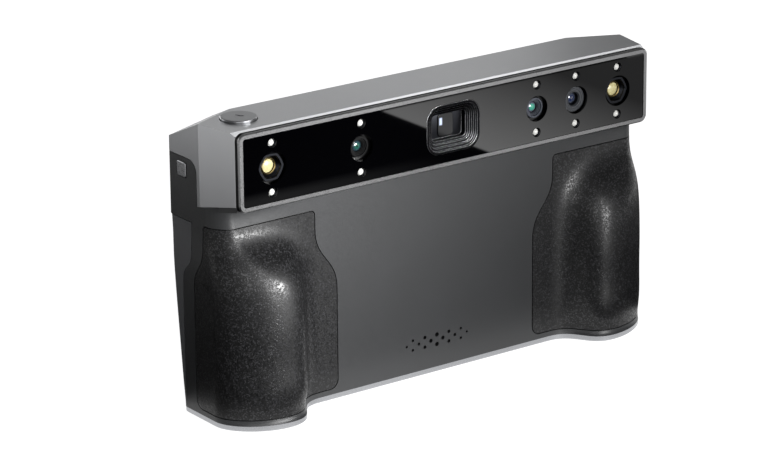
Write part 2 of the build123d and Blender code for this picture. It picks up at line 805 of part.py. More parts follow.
def rear_shell(form):
    """Grey rear shell with a flat bed for the screen and leaning side wings."""
    top = SEAM_Z
    above = box(-WIDTH, WIDTH, -DEPTH, BACK_Y + DEPTH, top, BODY_TOP + OVERRUN)
    shell = (form & parting_rear(SEAM)) - above
    shell = shell - box(-EAR_X, EAR_X, CORE_Y, BACK_Y + DEPTH, -OVERRUN, BODY_TOP)
    shell = shell - box(-CAVITY_HALF, CAVITY_HALF, -DEPTH, CORE_Y - REAR_WALL, FLOOR_TOP, top - REAR_WALL)
    for x, z in rear_screw_spots():
        head_y = CORE_Y - SCREW_SINK - SCREW_HEAD_T
        shell = shell - plate_y(Circle(SCREW_R + FIT), x, z, CORE_Y - OVERRUN, CORE_Y + OVERRUN)
        shell = shell - plate_y(Circle(SCREW_HEAD_R + FIT), x, z, head_y, CORE_Y + OVERRUN)
    return shell


def bottom_plate():
    """Silver plate under the body."""
    bulge_share = GRIP_SHARES[0][1]
    rim = body_outline(PLATE_EDGE, bulge_share, 0)
    bevel = loft([body_outline(0, bulge_share, PLATE_EDGE), rim], ruled=True)
    plate = bevel + extrude(rim, PLATE_T - PLATE_EDGE, dir=(0, 0, 1))
    plate = plate - disc_z(TRIPOD_BUSH_R + FIT, 0, TRIPOD_Y, -OVERRUN, PLATE_T + OVERRUN)
    for x, y in bottom_screw_spots():
        plate = plate - disc_z(SCREW_R + FIT, x, y, -OVERRUN, PLATE_T + OVERRUN)
        plate = plate - disc_z(SCREW_HEAD_R + FIT, x, y, -OVERRUN, SCREW_SINK + SCREW_HEAD_T)
    return plate


# Optics module

def module_outline(inset):
    """Front outline of the optics module, set in evenly."""
    radius = max(BEZEL_R - inset, FIT)
    return RectangleRounded(2 * (HEAD_FRONT_HALF - inset), BEZEL_H - 2 * inset, radius)


def bezel_trim():
    """Metal-looking rim around the glass, bevelled on its outer edge."""
    ring = plate_y(module_outline(0), 0, OPTIC_Z, GLASS_Y, GLASS_Y + TRIM_T)
    front = ring.faces().sort_by(Axis.Y)[0]
    ring = chamfer(front.outer_wire().edges(), TRIM_BEVEL)
    return ring - plate_y(module_outline(TRIM_W), 0, OPTIC_Z, GLASS_Y - OVERRUN, HEAD_Y)


def bezel_neck():
    """The part of the bezel that plugs into the metal head."""
    low = HEAD_TOP - BEZEL_H + NECK_LOW_INSET
    high = HEAD_TOP - NECK_INSET
    half = HEAD_FRONT_HALF - NECK_INSET
    shape = RectangleRounded(2 * half, high - low, BEZEL_R)
    return plate_y(shape, 0, (low + high) / 2, HEAD_Y - FIT, NECK_END_Y)


def front_bezel():
    """Dark frame that holds the glass and plugs into the head."""
    frame = plate_y(module_outline(0), 0, OPTIC_Z, GLASS_Y + TRIM_T, HEAD_Y)
    frame = frame + bezel_neck()
    frame = frame - plate_y(module_outline(TRIM_W), 0, OPTIC_Z, GLASS_Y, GLASS_BACK_Y)
    return frame - plate_y(module_outline(TRIM_W + LEDGE_W), 0, OPTIC_Z, GLASS_Y, NECK_END_Y + OVERRUN)


def light_spots():
    """Front-view positions of the ten light dots."""
    spots = []
    for x in (-OUTER_X, -NEAR_X, NEAR_X, COLOUR_X, OUTER_X):
        spots += [(x, OPTIC_Z - LIGHT_DROP), (x, OPTIC_Z + LIGHT_DROP)]
    return spots


def eye_spots():
    """Each lens position with the hole, ring, bore and lens radius it has."""
    outer = (OUTER_HOLE_R, OUTER_RING_R, OUTER_BORE_R, OUTER_LENS_R)
    near = (NEAR_HOLE_R, NEAR_RING_R, NEAR_BORE_R, NEAR_LENS_R)
    colour = (COLOUR_HOLE_R, COLOUR_RING_R, COLOUR_BORE_R, COLOUR_LENS_R)
    return {
        "outer_left": (-OUTER_X,) + outer,
        "outer_right": (OUTER_X,) + outer,
        "near_left": (-NEAR_X,) + near,
        "near_right": (NEAR_X,) + near,
        "colour": (COLOUR_X,) + colour,
    }


def projector_outline(inset):
    """Rounded window of the projector, set in evenly."""
    return RectangleRounded(PROJECTOR_W - 2 * inset, PROJECTOR_H - 2 * inset, PROJECTOR_R - inset)


def front_glass():
    """Black front glass with its apertures."""
    glass = plate_y(module_outline(TRIM_W + FIT), 0, OPTIC_Z, GLASS_FRONT_Y, GLASS_BACK_Y)
    for x, z in light_spots():
        glass = glass - plate_y(Circle(LIGHT_HOLE_R), x, z, GLASS_Y - OVERRUN, HEAD_Y)
    for x, hole_r, _, _, _ in eye_spots().values():
        glass = glass - plate_y(Circle(hole_r), x, OPTIC_Z, GLASS_Y - OVERRUN, HEAD_Y)
    window = plate_y(projector_outline(-FIT), PROJECTOR_X, OPTIC_Z, GLASS_Y - OVERRUN, HEAD_Y)
    return glass - window


def light_board():
    """Circuit board behind the glass that carries the light dots."""
    outline = module_outline(TRIM_W + LEDGE_W + SEAM)
    board = plate_y(outline, 0, OPTIC_Z, LIGHT_BOARD_Y, LIGHT_BOARD_Y + BOARD_T)
    for x, _, ring_r, _, _ in eye_spots().values():
        board = board - plate_y(Circle(ring_r + SEAM), x, OPTIC_Z, GLASS_Y, NECK_END_Y)
    window = plate_y(projector_outline(-SEAM), PROJECTOR_X, OPTIC_Z, GLASS_Y, NECK_END_Y)
    return board - window


def fill_leds():
    """Ten light dots, each a base with a domed lens."""
    lights = []
    for x, z in light_spots():
        dome = domed_y(x, z, LIGHT_R, LIGHT_CROWN, GLASS_Y + LIGHT_RECESS, LIGHT_BOARD_Y)
        base = plate_y(Circle(LIGHT_BASE_R), x, z, LIGHT_BOARD_Y - LIGHT_BASE_T, LIGHT_BOARD_Y)
        lights.append(one(dome + base))
    return Compound(lights)


def eye_barrel(x, ring_r, bore_r, lens_r):
    """Camera or emitter barrel with its square block behind."""
    seat_y = BARREL_Y + CONE_L
    end_y = seat_y + LENS_SEAT
    barrel = turned_y(x, OPTIC_Z, [
        (0, end_y),
        (lens_r + PRESS, end_y),
        (lens_r + PRESS, seat_y),
        (bore_r, BARREL_Y),
        (ring_r, BARREL_Y),
        (ring_r, BLOCK_Y),
        (0, BLOCK_Y),
    ])
    block = plate_y(Rectangle(BLOCK_W, BLOCK_W), x, OPTIC_Z, BLOCK_Y, BRACKET_Y)
    return barrel + block


def eye_lens(x, lens_r):
    """Domed front lens seated in its barrel."""
    seat_y = BARREL_Y + CONE_L
    return domed_y(x, OPTIC_Z, lens_r, LENS_CROWN, seat_y - LENS_CROWN / 2, seat_y + LENS_SEAT)


def projector_hood():
    """Stepped rectangular funnel in front of the projector."""
    hood = plate_y(projector_outline(0), PROJECTOR_X, OPTIC_Z, HOOD_Y, PROJECTOR_Y)
    depth = HOOD_STEP_L
    inset = HOOD_STEP_W
    for step in range(HOOD_STEPS):
        cut = plate_y(projector_outline(inset), PROJECTOR_X, OPTIC_Z, HOOD_Y - OVERRUN, HOOD_Y + depth)
        hood = hood - cut
        depth = depth + HOOD_STEP_L
        inset = inset + HOOD_STEP_W
    well = plate_y(projector_outline(inset), PROJECTOR_X, OPTIC_Z, HOOD_Y - OVERRUN,
                   PROJECTOR_Y - HOOD_FLOOR_T)
    opening = RectangleRounded(PROJECTOR_LENS_W + 2 * FIT, PROJECTOR_LENS_H + 2 * FIT, PROJECTOR_LENS_R)
    return hood - well - plate_y(opening, PROJECTOR_X, OPTIC_Z, HOOD_Y, PROJECTOR_Y + OVERRUN)


def projector_lens():
    """Small window at the bottom of the funnel."""
    shape = RectangleRounded(PROJECTOR_LENS_W, PROJECTOR_LENS_H, PROJECTOR_LENS_R)
    front = PROJECTOR_Y - HOOD_FLOOR_T - PROJECTOR_LENS_PROUD
    lens = plate_y(shape, PROJECTOR_X, OPTIC_Z, front, PROJECTOR_Y + PROJECTOR_LENS_SEAT)
    rim = lens.faces().sort_by(Axis.Y)[0].outer_wire().edges()
    return fillet(rim, PROJECTOR_LENS_PROUD / 2)


def projector_body():
    """Projector block behind the funnel."""
    shape = Rectangle(PROJECTOR_BODY_W, PROJECTOR_BODY_H)
    body = plate_y(shape, PROJECTOR_X, OPTIC_Z, PROJECTOR_Y, BRACKET_Y)
    seat = RectangleRounded(PROJECTOR_LENS_W + 2 * FIT, PROJECTOR_LENS_H + 2 * FIT, PROJECTOR_LENS_R)
    return body - plate_y(seat, PROJECTOR_X, OPTIC_Z, HOOD_Y, PROJECTOR_Y + PROJECTOR_LENS_SEAT)


def optics_bracket():
    """Metal rail that carries the cameras and hangs on the bezel neck."""
    low = OPTIC_Z - BRACKET_H / 2
    high = OPTIC_Z + BRACKET_H / 2
    rail = box(-BRACKET_END_X, BRACKET_END_X, BRACKET_Y, BRACKET_Y + BRACKET_T, low, high)
    for side in (-1, 1):
        x0, x1 = sorted((side * (BRACKET_END_X - BRACKET_T), side * BRACKET_END_X))
        rail = rail + box(x0, x1, NECK_END_Y, BRACKET_Y + BRACKET_T, low, high)
        foot_x = side * (HEAD_FRONT_HALF - NECK_INSET)
        x0, x1 = sorted((side * (BRACKET_END_X - BRACKET_T), foot_x))
        rail = rail + box(x0, x1, NECK_END_Y, NECK_END_Y + BRACKET_T, low, high)
    return rail


# Buttons and switches

def scan_flange_z():
    """Underside of the scan button's flange at rest."""
    return HEAD_TOP - HEAD_WALL - SCAN_GAP - FLANGE_T


def scan_board_top():
    """Top of the little board under the scan button."""
    return scan_flange_z() - STEM_L - SCAN_TRAVEL - SWITCH_SLACK - SWITCH_T


def scan_button():
    """Round push button on the head, with a faint sunk triangle."""
    cap_top = HEAD_TOP + SCAN_RISE
    flange_low = scan_flange_z()
    cap = disc_z(SCAN_R, -SCAN_X, SCAN_Y, flange_low, cap_top)
    rim = cap.faces().sort_by(Axis.Z)[-1].outer_wire().edges()
    cap = fillet(rim, SCAN_EDGE_R)
    cap = cap + disc_z(SCAN_R + FLANGE_W, -SCAN_X, SCAN_Y, flange_low, flange_low + FLANGE_T)
    cap = cap + disc_z(STEM_R, -SCAN_X, SCAN_Y, flange_low - STEM_L, flange_low)
    place = Pos(-SCAN_X, SCAN_Y, cap_top - MARK_DEPTH) * Rot(0, 0, 90)
    mark = extrude(place * RegularPolygon(MARK_R, 3), MARK_DEPTH + OVERRUN)
    return cap - mark


def scan_switch():
    """Press switch on its own small board below the scan button."""
    top = scan_board_top()
    long_half = PILLAR_OFFSET + PILLAR_R
    short_half = SWITCH_BOARD_W / 2
    board = box(-SCAN_X - long_half, -SCAN_X + long_half,
                SCAN_Y - short_half, SCAN_Y + short_half, top - BOARD_T, top)
    half = SWITCH_W / 2
    body = box(-SCAN_X - half, -SCAN_X + half, SCAN_Y - half, SCAN_Y + half, top, top + SWITCH_T)
    return board + body


def power_flange_x():
    """Inner face of the power button's flange at rest."""
    return -EAR_CAVITY_HALF + POWER_GAP + FLANGE_T


def power_button():
    """Square push button on the left end."""
    outer = -HEAD_HALF - POWER_RISE
    shape = RectangleRounded(POWER_W, POWER_W, POWER_R)
    cap = plate_x(shape, POWER_Y, POWER_Z, outer, -EAR_CAVITY_HALF + POWER_GAP)
    rim = cap.faces().sort_by(Axis.X)[0].outer_wire().edges()
    cap = fillet(rim, POWER_EDGE_R)
    flange = Rectangle(POWER_FLANGE_W, POWER_FLANGE_H)
    return cap + plate_x(flange, POWER_Y, POWER_Z, -EAR_CAVITY_HALF + POWER_GAP, power_flange_x())


def power_switch():
    """Press switch on a board that stands across the left ear."""
    face_x = power_flange_x() + POWER_TRAVEL + SWITCH_SLACK
    board_x = face_x + POWER_SWITCH_T
    body = plate_x(Rectangle(POWER_SWITCH_W, POWER_SWITCH_W), POWER_Y, POWER_Z, face_x, board_x)
    top = EAR_CAVITY_TOP - FIT
    board = box(board_x, board_x + BOARD_T, EAR_CAVITY_Y + FIT, EAR_CAVITY_BACK_Y - FIT,
                top - POWER_BOARD_H, top)
    return body + board


# Charging socket

def charge_socket():
    """Metal socket sleeve with its inner tongue."""
    outer_x = HEAD_HALF - SOCKET_SINK
    inner_x = outer_x - SOCKET_L
    sleeve = plate_x(RectangleRounded(SOCKET_W, SOCKET_H, SOCKET_H / 2 - FIT), POWER_Y, SOCKET_Z,
                     inner_x, outer_x)
    mouth = RectangleRounded(SOCKET_W - 2 * SOCKET_SKIN, SOCKET_H - 2 * SOCKET_SKIN,
                             SOCKET_H / 2 - FIT - SOCKET_SKIN)
    sleeve = sleeve - plate_x(mouth, POWER_Y, SOCKET_Z, inner_x + SOCKET_FLOOR, outer_x + OVERRUN)
    tongue = plate_x(Rectangle(TONGUE_W, TONGUE_T), POWER_Y, SOCKET_Z, inner_x, outer_x - TONGUE_SINK)
    return sleeve + tongue


def charge_board():
    """Board under the charging socket, lying across the right ear."""
    top = SOCKET_Z - SOCKET_H / 2
    return box(EAR_CAVITY_X + SOCKET_BOARD_GAP, EAR_CAVITY_HALF - FIT, EAR_CAVITY_Y + FIT,
               EAR_CAVITY_BACK_Y - FIT, top - BOARD_T, top)


# Flip-up rear screen

def screen_bounds(margin):
    """Front-view limits of the glass, set in evenly."""
    half = SCREEN_HALF - GLASS_MARGIN_X - margin
    low = SCREEN_LOW + GLASS_MARGIN_LOW + margin
    high = HINGE_Z - GLASS_MARGIN_TOP - margin
    return half, low, high


def screen_plate(margin, radius, y0, y1):
    """A rounded plate within the glass limits."""
    half, low, high = screen_bounds(margin)
    shape = RectangleRounded(2 * half, high - low, radius)
    return plate_y(shape, 0, (low + high) / 2, y0, y1)


def screen_housing():
    """Screen case, rounded along the top where it turns on its pins."""
    slab = box(-SCREEN_HALF, SCREEN_HALF, BACK_Y - SCREEN_T, BACK_Y, SCREEN_LOW, HINGE_Z)
    low = slab.edges().filter_by(lambda e: e.center().Z < SCREEN_LOW + FIT)
    slab = fillet(low, SCREEN_EDGE_R)
    slab = slab + plate_x(Circle(SCREEN_T / 2), HINGE_Y, HINGE_Z, -SCREEN_HALF, SCREEN_HALF)
    slab = slab - screen_plate(-FIT, TOUCH_R + FIT, BACK_Y - TOUCH_SINK - TOUCH_T, BACK_Y + OVERRUN)
    slab = slab - screen_plate(SCREEN_WELL_MARGIN, TOUCH_R, BACK_Y - SCREEN_WELL_T, BACK_Y + OVERRUN)
    for x0, x1 in ((SCREEN_HALF - BUSH_L, SCREEN_HALF + FIT), (-SCREEN_HALF - FIT, -SCREEN_HALF + BUSH_L)):
        slab = slab - plate_x(Circle(BUSH_R + PRESS), HINGE_Y, HINGE_Z, x0, x1)
    return slab


def touch_glass():
    """Cover glass on the user's side."""
    back = BACK_Y - TOUCH_SINK
    return screen_plate(0, TOUCH_R, back - TOUCH_T, back)


def display_panel():
    """Display bonded behind the cover glass."""
    back = BACK_Y - TOUCH_SINK - TOUCH_T
    return screen_plate(PANEL_MARGIN, TOUCH_R / 2, back - PANEL_T, back)


def display_board():
    """Drive board behind the display."""
    back = BACK_Y - TOUCH_SINK - TOUCH_T - PANEL_T
    return screen_plate(DISPLAY_BOARD_MARGIN, TOUCH_R / 2, back - DISPLAY_BOARD_T, back)


def hinge_pin():
    """Right-hand steel pin, held in the ear and reaching into the screen."""
    start = SCREEN_HALF - PIN_REACH
    pin = plate_x(Circle(PIN_R), HINGE_Y, HINGE_Z, start, EAR_CAVITY_X)
    return pin + plate_x(Circle(PIN_FLANGE_R), HINGE_Y, HINGE_Z, EAR_CAVITY_X, EAR_CAVITY_X + PIN_FLANGE_T)


def hinge_bush():
    """Right-hand friction bush in the screen case."""
    ring = Circle(BUSH_R) - Circle(PIN_R + RUNNING)
    return plate_x(ring, HINGE_Y, HINGE_Z, SCREEN_HALF - BUSH_L, SCREEN_HALF)


def hinge_washers():
    """Spring washers between the screen and the ears."""
    ring = Circle(WASHER_R) - Circle(PIN_R + RUNNING)
    right = plate_x(ring, HINGE_Y, HINGE_Z, EAR_X - FIT - WASHER_T, EAR_X - FIT)
    return Compound([one(right), one(mirrored(right))])


# Inside the body

def board_standoffs():
    """Front-view positions of the main board's posts."""
    x = MAIN_HALF - STANDOFF_INSET
    low = MAIN_LOW + STANDOFF_INSET
    high = MAIN_HIGH - STANDOFF_INSET
    return [(x, low), (-x, low), (x, high), (-x, high)]


def mid_frame():
    """Metal plate across the body with posts for the main board and the rear shell."""
    half = CAVITY_HALF - FIT
    frame = box(-half, half, FRAME_Y, FRAME_BACK_Y, FRAME_LOW, FRAME_HIGH)
    for x, z in board_standoffs():
        frame = frame + plate_y(Circle(STANDOFF_R), x, z, FRAME_BACK_Y, MAIN_Y)
    for x, z in rear_screw_spots():
        frame = frame + plate_y(Circle(SCREW_BOSS_R), x, z, FRAME_BACK_Y, CORE_Y - REAR_WALL)
    for x, z in rear_screw_spots():
        frame = frame - plate_y(Circle(SCREW_R + FIT), x, z, CORE_Y - SCREW_SINK - SCREW_L - FIT, CORE_Y)
    return frame


def main_board():
    """Main circuit board."""
    return box(-MAIN_HALF, MAIN_HALF, MAIN_Y, MAIN_Y + MAIN_T, MAIN_LOW, MAIN_HIGH)


def processor():
    """Processor on the front of the main board."""
    z = (MAIN_LOW + MAIN_HIGH) / 2
    return plate_y(Rectangle(PROCESSOR_W, PROCESSOR_W), 0, z, MAIN_Y - PROCESSOR_T, MAIN_Y)


def heat_spreader():
    """Metal block that takes heat from the processor to the frame."""
    z = (MAIN_LOW + MAIN_HIGH) / 2
    return plate_y(Rectangle(SPREADER_W, SPREADER_H), 0, z, FRAME_BACK_Y, MAIN_Y - PROCESSOR_T)


def battery_pack():
    """Flat cell glued behind the front wall."""
    shape = RectangleRounded(2 * BATTERY_HALF, BATTERY_HIGH - BATTERY_LOW, BATTERY_R)
    z = (BATTERY_LOW + BATTERY_HIGH) / 2
    return plate_y(shape, 0, z, BATTERY_Y, FRAME_Y - BATTERY_SLACK)


def speaker_mesh():
    """Dust cloth behind the sound holes."""
    shape = RectangleRounded(SPEAKER_W, SPEAKER_H, SPEAKER_R)
    return plate_y(shape, 0, HOLE_Z, FRONT_INNER_Y, FRONT_INNER_Y + MESH_T)


def speaker():
    """Small loudspeaker behind the sound holes."""
    shape = RectangleRounded(SPEAKER_W, SPEAKER_H, SPEAKER_R)
    front = FRONT_INNER_Y + MESH_T
    return plate_y(shape, 0, HOLE_Z, front, front + SPEAKER_T)


# Fixings

def tripod_bush():
    """Threaded bush for a tripod screw, open at the underside."""
    return turned_z(0, TRIPOD_Y, [
        (TRIPOD_R, TRIPOD_SINK),
        (TRIPOD_BUSH_R, TRIPOD_SINK),
        (TRIPOD_BUSH_R, FLOOR_TOP),
        (TRIPOD_FLANGE_R, FLOOR_TOP),
        (TRIPOD_FLANGE_R, FLOOR_TOP + TRIPOD_FLANGE_T),
        (TRIPOD_BUSH_R, FLOOR_TOP + TRIPOD_FLANGE_T),
        (TRIPOD_BUSH_R, TRIPOD_SINK + TRIPOD_L),
        (TRIPOD_R, TRIPOD_SINK + TRIPOD_L),
    ])


def screw_profile():
    """Half section of a screw with a socketed flat head, from the head down."""
    return [
        (0, SCREW_SOCKET_T),
        (SCREW_SOCKET_R, SCREW_SOCKET_T),
        (SCREW_SOCKET_R, 0),
        (SCREW_HEAD_R, 0),
        (SCREW_HEAD_R, SCREW_HEAD_T),
        (SCREW_R, SCREW_HEAD_T),
        (SCREW_R, SCREW_L),
        (0, SCREW_L),
    ]


def bottom_screws():
    """Screws through the bottom plate."""
    profile = [(r, SCREW_SINK + length) for r, length in screw_profile()]
    return Compound([one(turned_z(x, y, profile)) for x, y in bottom_screw_spots()])


def rear_screws():
    """Screws behind the screen."""
    profile = [(r, CORE_Y - SCREW_SINK - length) for r, length in screw_profile()]
    return Compound([one(turned_y(x, z, profile)) for x, z in rear_screw_spots()])


# Assembly

def assemble():
    """Every named part of the scanner."""
    form = body_form(0)
    shell_core = body_form(PAD_T)
    pad_core = body_form(PAD_T - FIT)
    pad = grip_pad(form, pad_core)
    pin = hinge_pin()
    bush = hinge_bush()
    parts = {
        "head_housing": head_housing(),
        "front_shell": front_shell(form, shell_core),
        "rear_shell": rear_shell(form),
        "bottom_plate": bottom_plate(),
        "grip_pad_right": pad,
        "grip_pad_left": mirrored(pad),
        "bezel_trim": bezel_trim(),
        "front_bezel": front_bezel(),
        "front_glass": front_glass(),
        "light_board": light_board(),
        "fill_leds": fill_leds(),
        "projector_hood": projector_hood(),
        "projector_lens": projector_lens(),
        "projector_body": projector_body(),
        "optics_bracket": optics_bracket(),
        "scan_button": scan_button(),
        "scan_switch": scan_switch(),
        "power_button": power_button(),
        "power_switch": power_switch(),
        "charge_socket": charge_socket(),
        "charge_board": charge_board(),
        "screen_housing": screen_housing(),
        "touch_glass": touch_glass(),
        "display_panel": display_panel(),
        "display_board": display_board(),
        "hinge_pin_right": pin,
        "hinge_pin_left": mirrored(pin),
        "hinge_bush_right": bush,
        "hinge_bush_left": mirrored(bush),
        "hinge_washers": hinge_washers(),
        "mid_frame": mid_frame(),
        "main_board": main_board(),
        "processor": processor(),
        "heat_spreader": heat_spreader(),
        "battery_pack": battery_pack(),
        "speaker_mesh": speaker_mesh(),
        "speaker": speaker(),
        "tripod_bush": tripod_bush(),
        "bottom_screws": bottom_screws(),
        "rear_screws": rear_screws(),
    }
    for name, (x, _, ring_r, bore_r, lens_r) in eye_spots().items():
        kind = "unit" if name.startswith("outer") else "camera"
        parts[name + "_" + kind] = eye_barrel(x, ring_r, bore_r, lens_r)
        parts[name + "_lens"] = eye_lens(x, lens_r)
    return parts


os.makedirs("parts", exist_ok=True)
for part_name, part in assemble().items():
    export_step(part, os.path.join("parts", part_name + ".step"))
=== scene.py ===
"""Looks of a hand-held three-d scanner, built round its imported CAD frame."""

import logging
import math
from dataclasses import dataclass
from enum import Enum
from typing import Any, ClassVar

import bmesh
import bpy
from mathutils import Matrix, Vector


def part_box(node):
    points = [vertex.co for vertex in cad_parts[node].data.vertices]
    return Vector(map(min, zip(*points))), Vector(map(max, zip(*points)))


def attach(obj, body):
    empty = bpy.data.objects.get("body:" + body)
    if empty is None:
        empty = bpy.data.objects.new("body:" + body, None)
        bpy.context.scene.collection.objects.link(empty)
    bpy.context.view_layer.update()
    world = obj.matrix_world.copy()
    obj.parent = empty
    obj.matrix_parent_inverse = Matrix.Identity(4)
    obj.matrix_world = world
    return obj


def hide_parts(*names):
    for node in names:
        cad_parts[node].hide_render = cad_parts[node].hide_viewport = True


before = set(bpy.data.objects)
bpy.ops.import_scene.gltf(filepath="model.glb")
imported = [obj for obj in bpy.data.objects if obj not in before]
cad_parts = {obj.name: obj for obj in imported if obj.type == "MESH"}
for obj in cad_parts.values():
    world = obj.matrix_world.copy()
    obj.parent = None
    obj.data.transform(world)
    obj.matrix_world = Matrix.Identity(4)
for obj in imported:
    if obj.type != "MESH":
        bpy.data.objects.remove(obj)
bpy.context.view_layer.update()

MM = 0.001
FULL_TURN = 2 * math.pi
MERGE_M = 1e-6
# Most values of a noise texture lie between the first two, and those of a fine grain between the others.
DRIFT_LOW, DRIFT_HIGH = 0.3, 0.7
GRAIN_LOW, GRAIN_HIGH = 0.25, 0.75
# Radians that a wave texture turns through over a unit length at a scale of one.
WAVE_RADIANS = 20
LOG = logging.getLogger("scanner")

Point = tuple[float, float, float]
Profile = tuple[tuple[float, float], ...]


class Body(Enum):
    """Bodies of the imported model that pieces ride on."""

    MAIN = "body"
    SCREEN = "flip_screen"
    SCAN = "scan_button"
    POWER = "power_button"


class Axis(Enum):
    """Directions that shapes are turned round."""

    Y = (0.0, 1.0, 0.0)
    Z = (0.0, 0.0, 1.0)


def linear(colour: str) -> tuple[float, float, float, float]:
    """Turn an sRGB hex colour into linear red, green, blue and alpha.

    Args:
        colour: hex colour with a leading hash sign.

    Returns:
        Linear colour, opaque.
    """
    parts = [int(colour[at:at + 2], 16) / 255 for at in (1, 3, 5)]
    red, green, blue = (c / 12.92 if c <= 0.04045 else ((c + 0.055) / 1.055) ** 2.4 for c in parts)
    return red, green, blue, 1.0


def add(tree: bpy.types.NodeTree, kind: str, sockets: dict | None = None, **settings: Any) -> bpy.types.Node:
    """Add one shader node with its settings, values and links.

    Args:
        tree: node tree that takes the node.
        kind: type of the node, without its common prefix.
        sockets: input name or index, to a value or to an output that feeds it.
        settings: properties of the node.

    Returns:
        The new node.
    """
    node = tree.nodes.new("ShaderNode" + kind)
    for name, value in settings.items():
        setattr(node, name, value)
    for key, value in (sockets or {}).items():
        if isinstance(value, bpy.types.NodeSocket):
            tree.links.new(value, node.inputs[key])
        else:
            node.inputs[key].default_value = value
    return node


def blank(name: str) -> bpy.types.Material:
    """Make a material whose node tree is still empty.

    Args:
        name: name of the material.

    Returns:
        The new material.
    """
    made = bpy.data.materials.new(name)
    made.use_nodes = True
    made.node_tree.nodes.clear()
    return made


def mirrored(tree: bpy.types.NodeTree, ray: bpy.types.Node) -> bpy.types.NodeSocket:
    """Tell the rays that metal or glass sends on from all others.

    Args:
        tree: node tree that takes the test.
        ray: the light path of the ray.

    Returns:
        One for such a ray, or zero.
    """
    kinds = {0: ray.outputs["Is Glossy Ray"], 1: ray.outputs["Is Transmission Ray"]}
    return add(tree, "Math", kinds, operation="MAXIMUM").outputs[0]


def turned(profile_mm: Profile, centre_mm: Point, axis: Axis, into: bmesh.types.BMesh | None = None,
           steps: int = 48) -> bmesh.types.BMesh:
    """Spin a closed half section round an axis.

    Args:
        profile_mm: radius and place along the axis of each corner.
        centre_mm: point on the axis where that place is zero.
        axis: direction of the axis.
        into: mesh that takes the shape, or none for a new one.
        steps: flats round the turn.

    Returns:
        The mesh.
    """
    shape = bmesh.new() if into is None else into
    line = Vector(axis.value)
    base, side = Vector(centre_mm), line.yzx
    dots = [shape.verts.new((base + side * radius + line * along) * MM) for radius, along in profile_mm]
    rim = [shape.edges.new((dots[at - 1], dots[at])) for at in range(len(dots))]
    bmesh.ops.spin(shape, geom=dots + rim, cent=base * MM, axis=line, angle=FULL_TURN, steps=steps,
                   use_merge=True)
    bmesh.ops.remove_doubles(shape, verts=shape.verts, dist=MERGE_M)
    bmesh.ops.recalc_face_normals(shape, faces=shape.faces)
    return shape


def hexagonal(shape: bmesh.types.BMesh, centre_mm: Point, axis: Axis, share: float,
              reach_mm: tuple[float, float]) -> None:
    """Pull the walls of a turned shape towards a six-sided outline.

    Args:
        shape: the turned mesh.
        centre_mm: point on its axis.
        axis: direction of the axis.
        share: none is round, one is a sharp hexagon.
        reach_mm: least and greatest radius of the walls that change.
    """
    line = Vector(axis.value)
    side = line.yzx
    sector = FULL_TURN / 6
    for vert in shape.verts:
        arm = vert.co - Vector(centre_mm) * MM
        arm -= line * arm.dot(line)
        if reach_mm[0] * MM < arm.length < reach_mm[1] * MM:
            turn = math.atan2(arm.dot(line.cross(side)), arm.dot(side)) % sector - sector / 2
            vert.co += arm * share * (math.cos(sector / 2) / math.cos(turn) - 1)


def slab(width_mm: float, height_mm: float, radius_mm: float, depth_mm: float,
         centre_mm: Point) -> tuple[bmesh.types.BMesh, bmesh.types.BMFace]:
    """Make a flat block with round corners that faces forwards.

    Args:
        width_mm: size along X.
        height_mm: size along Z.
        radius_mm: radius of its corners.
        depth_mm: how far it goes back.
        centre_mm: middle of its front face.

    Returns:
        The mesh and its front face.
    """
    shape = bmesh.new()
    bmesh.ops.create_grid(shape, x_segments=1, y_segments=1, size=0.5)
    bmesh.ops.scale(shape, vec=(width_mm * MM, height_mm * MM, 1.0), verts=shape.verts)
    bmesh.ops.bevel(shape, geom=shape.verts[:], offset=radius_mm * MM, affect="VERTICES", segments=8,
                    profile=0.5, material=-1)
    bmesh.ops.rotate(shape, matrix=Matrix.Rotation(math.pi / 2, 3, "X"), verts=shape.verts)
    bmesh.ops.translate(shape, vec=Vector(centre_mm) * MM, verts=shape.verts)
    shape.faces.ensure_lookup_table()
    front = shape.faces[0]
    walls = bmesh.ops.extrude_edge_only(shape, edges=shape.edges[:])["geom"]
    rear = [item for item in walls if isinstance(item, bmesh.types.BMVert)]
    bmesh.ops.translate(shape, vec=(0.0, depth_mm * MM, 0.0), verts=rear)
    bmesh.ops.holes_fill(shape, edges=[edge for edge in shape.edges if edge.is_boundary])
    return shape, front


def ease(shape: bmesh.types.BMesh, width_mm: float, least_deg: float = 40.0, material: int = -1) -> None:
    """Round every edge that is sharper than an angle.

    Args:
        shape: mesh that changes.
        width_mm: width of the rounding.
        least_deg: edges that turn by less stay as they are.
        material: place of the rounding's own finish, or the neighbours' finish.
    """
    bmesh.ops.recalc_face_normals(shape, faces=shape.faces)
    sharp = [edge for edge in shape.edges
             if edge.is_manifold and edge.calc_face_angle() > math.radians(least_deg)]
    bmesh.ops.bevel(shape, geom=sharp, offset=width_mm * MM, affect="EDGES", segments=3, profile=0.5,
                    material=material, clamp_overlap=True)


def soften(shape: bmesh.types.BMesh, sharp_deg: float = 34.0) -> None:
    """Shade a mesh smooth, but for its sharp edges.

    Args:
        shape: mesh that changes.
        sharp_deg: edges that turn by more stay crisp.
    """
    for face in shape.faces:
        face.smooth = True
    for edge in shape.edges:
        edge.smooth = edge.is_manifold and edge.calc_face_angle() < math.radians(sharp_deg)


